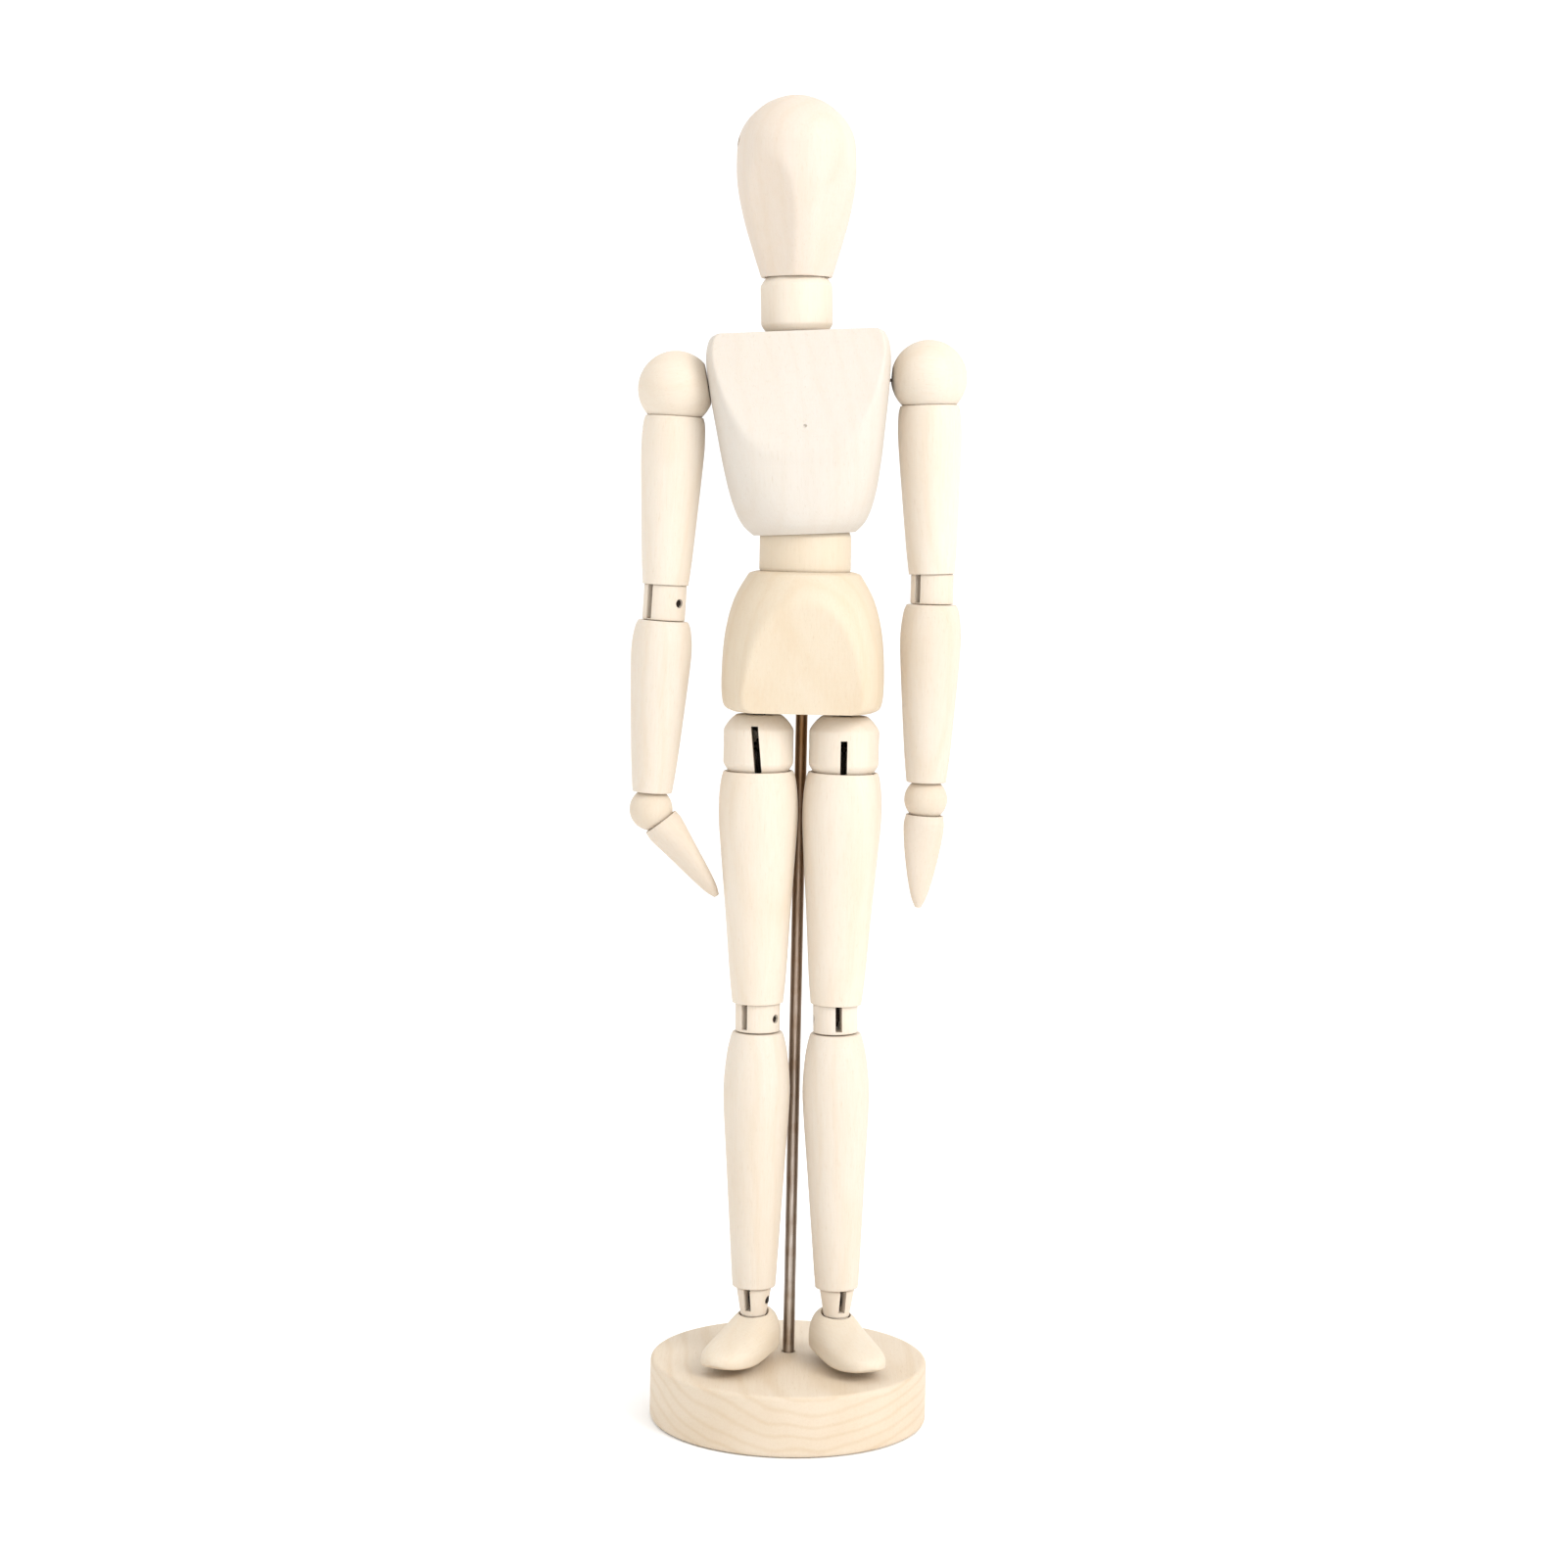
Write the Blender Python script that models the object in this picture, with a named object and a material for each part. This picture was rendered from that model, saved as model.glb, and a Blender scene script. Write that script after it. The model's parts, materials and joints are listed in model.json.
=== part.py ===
"""Jointed wooden artist mannequin, 114 mm tall, standing on a round base.

The figure faces -Y, +Z is up and the origin is the centre of the base's
underside.  All driving dimensions below are in millimetres; every mesh is
built in millimetres in the frame of the piece it belongs to and is scaled to
metres once, when its object is made.
"""

import math

import bmesh
import bpy
from mathutils import Matrix, Vector

MM = 0.001

# ---------------------------------------------------------------- dimensions
BASE_R, BASE_H, BASE_EDGE = 12.05, 5.25, 0.35
ROD_R, ROD_Y, ROD_SEAT, ROD_TOP = 0.52, 1.70, 1.6, 68.2
FIGURE_Y = -0.70                # plane of the legs, the trunk and the head

WAIST_Z = 75.40                 # centre of the waist barrel
WAIST_R, WAIST_BALL, WAIST_RIM = 3.90, 4.14, 1.55
SEAT_GAP = 0.15                 # radial clearance of every ball seat
CHEST_LEAN = 3.2                # the chest leans this far to the right arm's side
NECK_UP = 20.85                 # neck centre above the waist centre
NECK_R, NECK_BALL, NECK_RIM = 3.03, 3.43, 2.30
HEAD_LEAN, HEAD_TURN, HEAD_TOP = 1.2, 9.0, 17.45

SHOULDER_OUT = {"left": 10.98, "right": 10.45}
SHOULDER_UP = {"left": 14.35, "right": 14.20}
SHOULDER_BALL, SHOULDER_CANT = 3.15, 7.0
SHOULDER_FLAT = {"left": 3.00, "right": 2.75}
ARM_TOP, ELBOW_DOWN, WRIST_DOWN = 2.30, 18.05, 17.75
ELBOW_R, ELBOW_BALL, ELBOW_RIM = 1.82, 2.32, 1.52
WRIST_BALL, HAND_LEN = 1.85, 9.40

HIP_OUT, HIP_Z = 3.66, 58.85
HIP_R, HIP_BALL, HIP_FLAT, THIGH_TOP = 3.00, 3.33, 2.72, 2.12
KNEE_DOWN, ANKLE_DOWN = 23.45, 24.80
KNEE_R, KNEE_BALL, KNEE_RIM = 1.93, 2.30, 1.30
ANKLE_R, ANKLE_BALL, ANKLE_RIM = 1.50, 1.75, 1.15
SOLE_DOWN = 4.83                # ankle centre to the sole

PIN_R, PIN_HOLE = 0.33, 0.41
PLATE, SLOT = 0.36, 0.56        # link plates and the sawn slots they move in
WIRE = 0.15                     # spring wire radius
AROUND = 14                     # facets round a turned piece

PALE = (0.93, 0.83, 0.68)
WARM = (0.90, 0.77, 0.58)
STEEL = (0.50, 0.48, 0.46)
DARK_STEEL = (0.20, 0.18, 0.17)

bpy.context.scene.unit_settings.scale_length = 1.0
for old in list(bpy.data.objects):
    bpy.data.objects.remove(old, do_unlink=True)


# ------------------------------------------------------------------- meshing
def finish(bm, name):
    bmesh.ops.remove_doubles(bm, verts=bm.verts, dist=1e-4)
    bmesh.ops.recalc_face_normals(bm, faces=bm.faces)
    mesh = bpy.data.meshes.new(name)
    bm.to_mesh(mesh)
    bm.free()
    return mesh


def turned(profile, closed, around=AROUND, name="turned"):
    """Spins a profile of (radius, height) pairs about Z."""
    bm = bmesh.new()
    verts = [bm.verts.new((r, 0.0, z)) for r, z in profile]
    for a, b in zip(verts, verts[1:]):
        bm.edges.new((a, b))
    if closed:
        bm.edges.new((verts[-1], verts[0]))
    bmesh.ops.spin(
        bm, geom=list(bm.verts) + list(bm.edges), cent=(0, 0, 0), axis=(0, 0, 1),
        angle=2 * math.pi, steps=around, use_merge=True,
    )
    return finish(bm, name)


def lofted(rings, name="loft"):
    """Skins rings of equal length and closes both ends."""
    bm = bmesh.new()
    made = [[bm.verts.new(p) for p in ring] for ring in rings]
    n = len(rings[0])
    for low, high in zip(made, made[1:]):
        for i in range(n):
            j = (i + 1) % n
            bm.faces.new((low[i], low[j], high[j], high[i]))
    bm.faces.new(list(reversed(made[0])))
    bm.faces.new(made[-1])
    return finish(bm, name)


def rod_mesh(radius, start, end, around=10, name="rod"):
    """A straight round bar between two points."""
    start, end = Vector(start), Vector(end)
    way = (end - start).normalized()
    side = way.orthogonal().normalized()
    up = way.cross(side)
    rings = []
    for p in (start, end):
        rings.append([
            p + radius * (math.cos(2 * math.pi * i / around) * side + math.sin(2 * math.pi * i / around) * up)
            for i in range(around)
        ])
    return lofted(rings, name)


def block_mesh(low, high, name="block"):
    rings = []
    for z in (low[2], high[2]):
        rings.append([(low[0], low[1], z), (high[0], low[1], z), (high[0], high[1], z), (low[0], high[1], z)])
    return lofted(rings, name)


def ball_mesh(radius, centre=(0, 0, 0), around=AROUND, rows=10):
    bm = bmesh.new()
    bmesh.ops.create_uvsphere(bm, u_segments=around, v_segments=rows, radius=radius)
    bmesh.ops.translate(bm, verts=bm.verts, vec=centre)
    return finish(bm, "ball")


def swept(points, radius, around=6, name="wire"):
    """A round wire along a line of points, with flat ends."""
    points = [Vector(p) for p in points]
    rings = []
    side = None
    for i, p in enumerate(points):
        way = (points[min(i + 1, len(points) - 1)] - points[max(i - 1, 0)]).normalized()
        side = way.orthogonal() if side is None else side - way * side.dot(way)
        side.normalize()
        up = way.cross(side)
        rings.append([
            p + radius * (math.cos(2 * math.pi * k / around) * side + math.sin(2 * math.pi * k / around) * up)
            for k in range(around)
        ])
    return lofted(rings, name)


def is_closed(mesh):
    bm = bmesh.new()
    bm.from_mesh(mesh)
    good = all(edge.is_manifold and edge.calc_length() > 1e-5 for edge in bm.edges)
    bm.free()
    return good


def cut(mesh, *cutters):
    """Takes each cutter in turn out of a mesh."""
    for cutter in cutters:
        for solver in ("EXACT", "MANIFOLD"):
            body = bpy.data.objects.new("working", mesh)
            tool = bpy.data.objects.new("tool", cutter)
            for item in (body, tool):
                bpy.context.scene.collection.objects.link(item)
            boolean = body.modifiers.new("cut", "BOOLEAN")
            boolean.operation = "DIFFERENCE"
            boolean.solver = solver
            boolean.object = tool
            bpy.context.view_layer.update()
            graph = bpy.context.evaluated_depsgraph_get()
            made = bpy.data.meshes.new_from_object(body.evaluated_get(graph))
            for item in (body, tool):
                bpy.data.objects.remove(item, do_unlink=True)
            if is_closed(made):
                break
        mesh = made
    return mesh


def moved(mesh, matrix):
    mesh.transform(matrix)
    return mesh


def arc(radius, z0, a0, a1, steps):
    """Points (radius, height) on a sphere's outline, angles in degrees from -Z round to +Z."""
    out = []
    for i in range(steps + 1):
        a = math.radians(a0 + (a1 - a0) * i / steps)
        out.append((radius * math.sin(a), z0 - radius * math.cos(a)))
    return out


def smooth_profile(knots, steps):
    """A smooth line through (radius, height) knots, as a turner's template would give."""
    pts = [knots[0]] + list(knots) + [knots[-1]]
    out = []
    for k in range(1, len(pts) - 2):
        p0, p1, p2, p3 = pts[k - 1:k + 3]
        for s in range(steps):
            t = s / steps
            out.append(tuple(
                0.5 * (2 * p1[i] + (p2[i] - p0[i]) * t + (2 * p0[i] - 5 * p1[i] + 4 * p2[i] - p3[i]) * t * t
                       + (3 * p1[i] - p0[i] - 3 * p2[i] + p3[i]) * t ** 3)
                for i in (0, 1)
            ))
    out.append(knots[-1])
    return out


def seat_angle(seat, rim):
    """Angle from the axis at which a seat of this radius reaches its rim height."""
    return math.degrees(math.acos(rim / seat))


def barrel_profile(radius, ball, low_bore):
    """Outline of a barrel whose ends are spherical, with an axial bore, from bottom to top and back down the bore."""
    flat = math.sqrt(ball * ball - radius * radius)
    first = math.degrees(math.asin(low_bore / ball))
    last = math.degrees(math.acos(flat / ball))
    lower = arc(ball, 0, first, last, 3)
    upper = [(r, -z) for r, z in reversed(lower)]
    return lower + upper


# -------------------------------------------------------------------- frames
def turn(axis, degrees):
    return Matrix.Rotation(math.radians(degrees), 4, axis)


def shift(x, y, z):
    return Matrix.Translation((x, y, z))


def superellipse(a, b, power, z, around, y0=0.0):
    out = []
    for i in range(around):
        t = 2 * math.pi * (i + 0.5) / around
        c, s = math.cos(t), math.sin(t)
        out.append((
            a * math.copysign(abs(c) ** (2 / power), c),
            y0 + b * math.copysign(abs(s) ** (2 / power), s),
            z,
        ))
    return out


F_FIGURE = shift(0, FIGURE_Y, 0)
F_WAIST = shift(0, FIGURE_Y, WAIST_Z)
F_CHEST = F_WAIST @ turn("Y", -CHEST_LEAN)
F_NECK = F_CHEST @ shift(0, 0, NECK_UP) @ turn("Y", CHEST_LEAN - 2.2)
F_HEAD = shift(*(F_CHEST @ Vector((0, 0, NECK_UP)))) @ turn("Y", -HEAD_LEAN) @ turn("Z", HEAD_TURN)

ARM = {
    # side: outward sign, upper arm lean, forearm lean, elbow azimuth, hand lean, hand twist
    "left": (1, -2.2, 0.3, -45.0, 2.7, 8.0),
    "right": (-1, 2.15, 2.8, -43.0, -38.0, -48.0),
}
LEG = {
    # side: outward sign, hip slot azimuth, thigh lean, shin lean, knee azimuth, foot azimuth
    "left": (1, -1.0, 0.53, -1.5, 8.0, 22.0),
    "right": (-1, -2.0, -0.94, -0.3, -36.0, -24.0),
}

FRAMES = {"figure": F_FIGURE, "waist": F_WAIST, "chest": F_CHEST, "neck": F_NECK, "head": F_HEAD}
for side, (sign, lean_a, lean_f, azimuth, lean_h, twist) in ARM.items():
    at = F_CHEST @ Vector((sign * SHOULDER_OUT[side], 0, SHOULDER_UP[side]))
    FRAMES["shoulder_" + side] = shift(*at) @ turn("Y", -CHEST_LEAN + sign * SHOULDER_CANT)
    FRAMES["upper_arm_" + side] = shift(*at) @ turn("Y", lean_a) @ turn("Z", azimuth)
    elbow = FRAMES["upper_arm_" + side] @ Vector((0, 0, -ELBOW_DOWN))
    FRAMES["elbow_" + side] = shift(*elbow) @ turn("Y", lean_f) @ turn("Z", azimuth)
    wrist = FRAMES["elbow_" + side] @ Vector((0, 0, -WRIST_DOWN))
    FRAMES["wrist_" + side] = shift(*wrist) @ turn("Y", lean_f) @ turn("Z", twist)
    FRAMES["hand_" + side] = shift(*wrist) @ turn("Y", lean_h) @ turn("Z", twist)
for side, (sign, slot, lean_t, lean_s, azimuth, toe) in LEG.items():
    at = Vector((sign * HIP_OUT, FIGURE_Y, HIP_Z))
    FRAMES["hip_" + side] = shift(*at) @ turn("Z", slot)
    FRAMES["hook_" + side] = shift(*at) @ turn("Y", lean_t) @ turn("Z", slot)
    FRAMES["thigh_" + side] = shift(*at) @ turn("Y", lean_t) @ turn("Z", azimuth)
    knee = FRAMES["thigh_" + side] @ Vector((0, 0, -KNEE_DOWN))
    FRAMES["knee_" + side] = shift(*knee) @ turn("Y", lean_s) @ turn("Z", azimuth)
    ankle = FRAMES["knee_" + side] @ Vector((0, 0, -ANKLE_DOWN))
    FRAMES["ankle_" + side] = shift(*ankle) @ turn("Z", toe)

EMPTIES = {}
for name, frame in FRAMES.items():
    empty = bpy.data.objects.new("joint_" + name, None)
    bpy.context.scene.collection.objects.link(empty)
    empty.matrix_world = Matrix.Translation(frame.translation * MM) @ frame.to_3x3().to_4x4()
    empty.empty_display_size = 2 * MM
    EMPTIES[name] = empty
bpy.context.view_layer.update()

MATERIALS = {}


def material(name, colour, rough, metal):
    if name not in MATERIALS:
        made = bpy.data.materials.new(name)
        made.use_nodes = True
        shader = made.node_tree.nodes["Principled BSDF"]
        shader.inputs["Base Color"].default_value = (*colour, 1)
        shader.inputs["Roughness"].default_value = rough
        shader.inputs["Metallic"].default_value = metal
        MATERIALS[name] = made
    return MATERIALS[name]


def node(name, mesh, frame=None, colour=PALE, rough=0.55, metal=0.0):
    """Places a millimetre mesh as one named piece, in metres, in its joint's frame."""
    mesh.name = name
    mesh.transform(Matrix.Scale(MM, 4))
    obj = bpy.data.objects.new(name, mesh)
    bpy.context.scene.collection.objects.link(obj)
    if frame:
        obj.parent = EMPTIES[frame]
    mesh.materials.clear()
    mesh.materials.append(material("finish_" + name, colour, rough, metal))
    mesh.shade_smooth()
    mesh.set_sharp_from_angle(angle=math.radians(32))
    return obj


def steel(name, mesh, frame=None):
    return node(name, mesh, frame, STEEL, 0.35, 1.0)


# --------------------------------------------------------------- base and rod
# The disc is turned about its own centre; the rod's seat is drilled behind it.
base = turned(
    [(0.0, BASE_H), (BASE_R - BASE_EDGE, BASE_H), (BASE_R - 0.1, BASE_H - 0.1), (BASE_R, BASE_H - BASE_EDGE),
     (BASE_R, 0.25), (BASE_R - 0.25, 0.0), (0.0, 0.0)], False, 32)
base = cut(base, rod_mesh(ROD_R + 0.08, (0, ROD_Y, ROD_SEAT - 0.3), (0, ROD_Y, BASE_H + 1), 12))
node("base", base, None, WARM)

rod = turned([(0.0, ROD_SEAT), (ROD_R - 0.12, ROD_SEAT), (ROD_R, ROD_SEAT + 0.2),
              (ROD_R, ROD_TOP - 0.2), (ROD_R - 0.12, ROD_TOP), (0.0, ROD_TOP)], False, 10)
rod_object = steel("support_rod", rod)
rod_object.location = (0, ROD_Y * MM, 0)

# -------------------------------------------------------------------- pelvis
PELVIS_KNOTS = [(5.95, 61.90), (6.75, 62.45), (6.95, 64.6), (6.72, 68.4), (5.98, 71.4), (4.75, 73.65)]


def pelvis_mesh():
    seat = WAIST_BALL + SEAT_GAP
    rim = WAIST_Z - WAIST_RIM
    inner = arc(seat, WAIST_Z, seat_angle(seat, WAIST_RIM), math.degrees(math.asin(1.6 / seat)), 3)
    outer = smooth_profile(PELVIS_KNOTS, 1) + [(4.25, rim - 0.05)]
    bore = [(1.6, 67.2), (0.0, 66.9)]
    mesh = turned([(0.0, 61.90)] + outer + inner + bore, False, 20)
    cutters = []
    for face in (-1, 1):
        # The front and back faces lean in towards the bottom.
        top, bottom = Vector((0, face * 5.98, 71.4)), Vector((0, face * 4.35, 61.9))
        way = (top - bottom).normalized()
        out = Vector((0, face * way.z, -face * way.y))
        corners = [bottom - way * 3, top + way * 3, top + way * 3 + out * 6, bottom - way * 3 + out * 6]
        cutters.append(lofted([[(x, p.y, p.z) for p in corners] for x in (-9, 9)]))
    cutters.append(rod_mesh(ROD_R + 0.09, (0, ROD_Y - FIGURE_Y, 60), (0, ROD_Y - FIGURE_Y, ROD_TOP + 0.4), 10))
    cutters.append(rod_mesh(PIN_HOLE, (-8, 0, 69.2), (8, 0, 69.2), 8))
    for sign in (-1, 1):
        cutters.append(rod_mesh(0.62, (sign * HIP_OUT, 0, 60), (sign * HIP_OUT, 0, 64.6), 8))
    return cut(mesh, *cutters)


node("pelvis", pelvis_mesh(), "figure", WARM)
steel("torso_pin_lower", rod_mesh(PIN_R, (-5.9, 0, 69.2), (5.9, 0, 69.2), 8), "figure")

# --------------------------------------------------------------------- waist
node("waist_barrel", turned(barrel_profile(WAIST_R, WAIST_BALL, 1.5), True, 18), "waist", WARM)


def spring_points(low_pin, high_pin, coil_low, coil_high, radius, turns, pin_way_low, pin_way_high, per_turn=7):
    """A tension spring along Z: a hook round each pin and a coil between them."""
    hook = PIN_R + WIRE + 0.05
    points = []

    def side(way, a, z, r):
        # Hooks lie in the plane across their pin.
        return Vector((0, r * math.cos(a), z + r * math.sin(a))) if way == "X" else Vector((r * math.cos(a), 0, z + r * math.sin(a)))

    for i in range(6):
        a = math.radians(200 + 340 * 0 + (420 - 200) * i / 5)
        points.append(side(pin_way_low, a, low_pin, hook))
    points.append(Vector((0, 0, low_pin + hook + 0.45)))
    points.append(Vector((radius * 0.5, 0, coil_low - 0.25)))
    total = int(turns * per_turn)
    for i in range(total + 1):
        a = 2 * math.pi * i / per_turn
        points.append(Vector((radius * math.cos(a), radius * math.sin(a), coil_low + (coil_high - coil_low) * i / total)))
    points.append(Vector((radius * 0.5 * math.cos(a), radius * 0.5 * math.sin(a), coil_high + 0.25)))
    points.append(Vector((0, 0, high_pin - hook - 0.45)))
    for i in range(6):
        a = math.radians(-60 + (160 + 60) * i / 5)
        points.append(side(pin_way_high, a, high_pin, hook))
    return points


steel("torso_spring", swept(spring_points(69.2 - WAIST_Z, 10.9, -4.6, 9.2, 0.95, 7, "X", "Y"), WIRE, 4), "chest")

# --------------------------------------------------------------------- chest
SHOULDER_MID = (SHOULDER_UP["left"] + SHOULDER_UP["right"]) / 2
CHEST_KNOTS = [(4.35, 1.62), (5.15, 2.40), (5.75, 3.55), (6.30, 5.4), (6.78, 8.0), (7.12, 10.3),
               (7.58, 13.6), (7.80, 16.0), (7.72, 17.4), (7.40, 18.25), (6.95, 18.55)]


def chest_mesh():
    rings = []
    for r, z in CHEST_KNOTS:
        share = min(1.0, max(0.0, (z - 1.5) / 6.0))
        power = 2.0 + 1.0 * share
        depth = 1.0 - 0.15 * share
        rings.append(superellipse(r, r * depth, power, z, 22))
    mesh = lofted(rings)
    cutters = []
    for face in (-1, 1):
        # The breast and the back are flattened above the ribs and lean in to the neck.
        low, high = Vector((0, face * 5.85, 8.0)), Vector((0, face * 3.45, 18.55))
        way = (high - low).normalized()
        out = Vector((0, face * way.z, -face * way.y))
        corners = [low - way * 2, high + way * 3, high + way * 3 + out * 6, low - way * 2 + out * 6]
        cutters.append(lofted([[(x, p.y, p.z) for p in corners] for x in (-9, 9)]))
    cutters.append(ball_mesh(WAIST_BALL + SEAT_GAP, (0, 0, 0), 18, 12))
    cutters.append(ball_mesh(NECK_BALL + SEAT_GAP, (0, 0, NECK_UP), 16, 12))
    cutters.append(rod_mesh(1.45, (0, 0, 2), (0, 0, 11.9), 10))
    cutters.append(rod_mesh(1.35, (0, 0, 15.2), (0, 0, 19.5), 10))
    cutters.append(rod_mesh(1.30, (-9, 0, SHOULDER_MID), (9, 0, SHOULDER_MID), 10))
    cutters.append(rod_mesh(PIN_HOLE, (0, -3.6, 10.9), (0, 8, 10.9), 8))
    cutters.append(rod_mesh(PIN_HOLE, (-9, 0, 16.75), (9, 0, 16.75), 8))
    return cut(mesh, *cutters)


node("chest", chest_mesh(), "chest", PALE)
steel("torso_pin_upper", rod_mesh(PIN_R, (0, -3.45, 10.9), (0, 5.0, 10.9), 8), "chest")
steel("neck_pin_lower", rod_mesh(PIN_R, (-6.9, 0, 16.75), (6.9, 0, 16.75), 8), "chest")


def shoulder_spring_points():
    """One tension spring across the chest, with a straight end reaching into each shoulder ball."""
    points, coil = [], 5.6
    reach = {side: SHOULDER_OUT[side] - 1.15 for side in SHOULDER_OUT}
    radius, turns, per_turn = 0.80, 7, 7
    points.append(Vector((-reach["right"], 0, SHOULDER_UP["right"] - SHOULDER_MID)))
    points.append(Vector((-coil - 1.0, 0, 0)))
    total = turns * per_turn
    for i in range(total + 1):
        a = 2 * math.pi * i / per_turn
        points.append(Vector((-coil + 2 * coil * i / total, radius * math.cos(a), radius * math.sin(a))))
    points.append(Vector((coil + 1.0, 0, 0)))
    points.append(Vector((reach["left"], 0, SHOULDER_UP["left"] - SHOULDER_MID)))
    return points


steel("shoulder_spring",
      moved(swept(shoulder_spring_points(), WIRE, 4), shift(0, 0, SHOULDER_MID)), "chest")

# ---------------------------------------------------------------------- neck
node("neck_barrel", turned(barrel_profile(NECK_R, NECK_BALL, 1.35), True, 16), "neck", PALE)
steel("neck_spring", swept(spring_points(16.75 - NECK_UP, 13.6, -2.3, 11.8, 0.8, 6, "X", "X"), WIRE, 4), "neck")

# ---------------------------------------------------------------------- head
HEAD_KNOTS = [(3.0, 2.30), (3.72, 4.60), (4.47, 7.25), (4.98, 10.0), (5.03, 12.2), (4.86, 13.9),
              (4.10, 15.38), (2.62, 16.70), (1.1, 17.33)]
FACE_NORMAL = 39.4              # azimuth of each cheek's flat, either side of the nose line
FACE_LOW, FACE_HIGH = (2.78, 2.3), (5.02, 12.1)


def head_mesh():
    seat = NECK_BALL + SEAT_GAP
    outer = smooth_profile(HEAD_KNOTS, 1) + [(0.0, HEAD_TOP)]
    inner = [(0.0, 14.9), (1.25, 14.5)] + arc(seat, 0, 180 - math.degrees(math.asin(1.25 / seat)), 180 - seat_angle(seat, NECK_RIM), 3)
    mesh = turned(inner + outer, False, 22)
    cutters = []
    for sign in (-1, 1):
        az = math.radians(sign * FACE_NORMAL)
        out = Vector((math.sin(az), -math.cos(az), 0))
        along = Vector((math.cos(az), math.sin(az), 0))
        low = out * FACE_LOW[0] + Vector((0, 0, FACE_LOW[1]))
        high = out * FACE_HIGH[0] + Vector((0, 0, FACE_HIGH[1]))
        way = (high - low).normalized()
        corners = [low - way * 2, high + way * 2, high + way * 2 + out * 4, low - way * 2 + out * 4]
        cutters.append(lofted([[p + along * s for p in corners] for s in (-6, 6)]))
    cutters.append(rod_mesh(PIN_HOLE, (-7, 0, 13.6), (7, 0, 13.6), 8))
    return cut(mesh, *cutters)


node("head", head_mesh(), "head", PALE)
steel("neck_pin_upper", rod_mesh(PIN_R, (-4.3, 0, 13.6), (4.3, 0, 13.6), 8), "head")


# ---------------------------------------------------------------------- arms
def link_plate(eye_r, width, length, thick, across):
    """A flat link: a round eye at the origin and a straight shank down -Z, thickness along `across`."""
    outline = []
    half = width / 2
    join = math.asin(half / eye_r)
    for i in range(9):
        a = -math.pi / 2 + join + (2 * math.pi - 2 * join) * i / 8
        outline.append((eye_r * math.cos(a), eye_r * math.sin(a)))
    outline.append((-half, -length + half * 0.6))
    outline.append((-half * 0.5, -length))
    outline.append((half * 0.5, -length))
    outline.append((half, -length + half * 0.6))
    if across == "Y":
        rings = [[(u, y, v) for u, v in outline] for y in (-thick / 2, thick / 2)]
        hole = rod_mesh(PIN_HOLE + 0.02, (0, -2, 0), (0, 2, 0), 8)
    else:
        rings = [[(x, u, v) for u, v in outline] for x in (-thick / 2, thick / 2)]
        hole = rod_mesh(PIN_HOLE + 0.02, (-2, 0, 0), (2, 0, 0), 8)
    return cut(lofted(rings), hole)


def shoulder_ball(sign, flat_at):
    """A turned ball with a flat towards the chest; its slot runs from below to the outside and its pin is driven in from behind."""
    first = math.degrees(math.asin(0.6 / SHOULDER_BALL))
    last = math.degrees(math.acos(-flat_at / SHOULDER_BALL))
    # turned about its own bore, which lies along X, flat face at the far end
    profile = [(0.0, -SHOULDER_BALL)] + arc(SHOULDER_BALL, 0, 16, last, 7) + [(0.55, flat_at), (0.55, 0.4), (0.0, 0.4)]
    mesh = turned(profile, False, AROUND)
    # flat end (+Z of the lathe) points towards the chest
    mesh.transform(turn("Y", -90 * sign))
    slot = block_mesh(
        (min(sign * -0.80, sign * 4), -SLOT / 2, -4), (max(sign * -0.80, sign * 4), SLOT / 2, 0.78))
    pin = rod_mesh(PIN_HOLE, (0, -1.7, 0), (0, 4, 0), 8)
    return cut(mesh, slot, pin)


ELBOW_FOOT = {"left": 1.02, "right": 1.50}    # ball centre to the knuckle's shoulder on the forearm
UPPER_ARM_KNOTS = [(1.95, -16.53), (2.16, -14.2), (2.46, -9.5), (2.68, -5.6), (2.69, -4.0), (2.62, -2.9), (2.46, -2.30)]
FOREARM_KNOTS = [(1.70, -16.28), (1.98, -13.6), (2.32, -9.0), (2.56, -5.2), (2.57, -3.6), (2.38, -2.2), (2.12, -1.56)]


def upper_arm():
    top = SHOULDER_BALL + SEAT_GAP
    low = ELBOW_BALL + SEAT_GAP
    outer = smooth_profile(UPPER_ARM_KNOTS, 1)
    seat = [(r, z) for r, z in arc(top, 0, seat_angle(top, ARM_TOP), math.degrees(math.asin(0.95 / top)), 3)]
    bore = [(0.95, -9.2), (0.0, -9.5)]
    cup = [(0.0, -ELBOW_DOWN + low)] + [
        (r, -ELBOW_DOWN - z) for r, z in arc(low, 0, 18, seat_angle(low, ELBOW_RIM), 2)]
    mesh = turned(cup + outer + seat + bore, False, AROUND)
    slit = block_mesh((-SLOT / 2, -0.85, -ELBOW_DOWN + 1.5), (SLOT / 2, 0.85, -ELBOW_DOWN + 5.3))
    return cut(mesh, slit)


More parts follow.
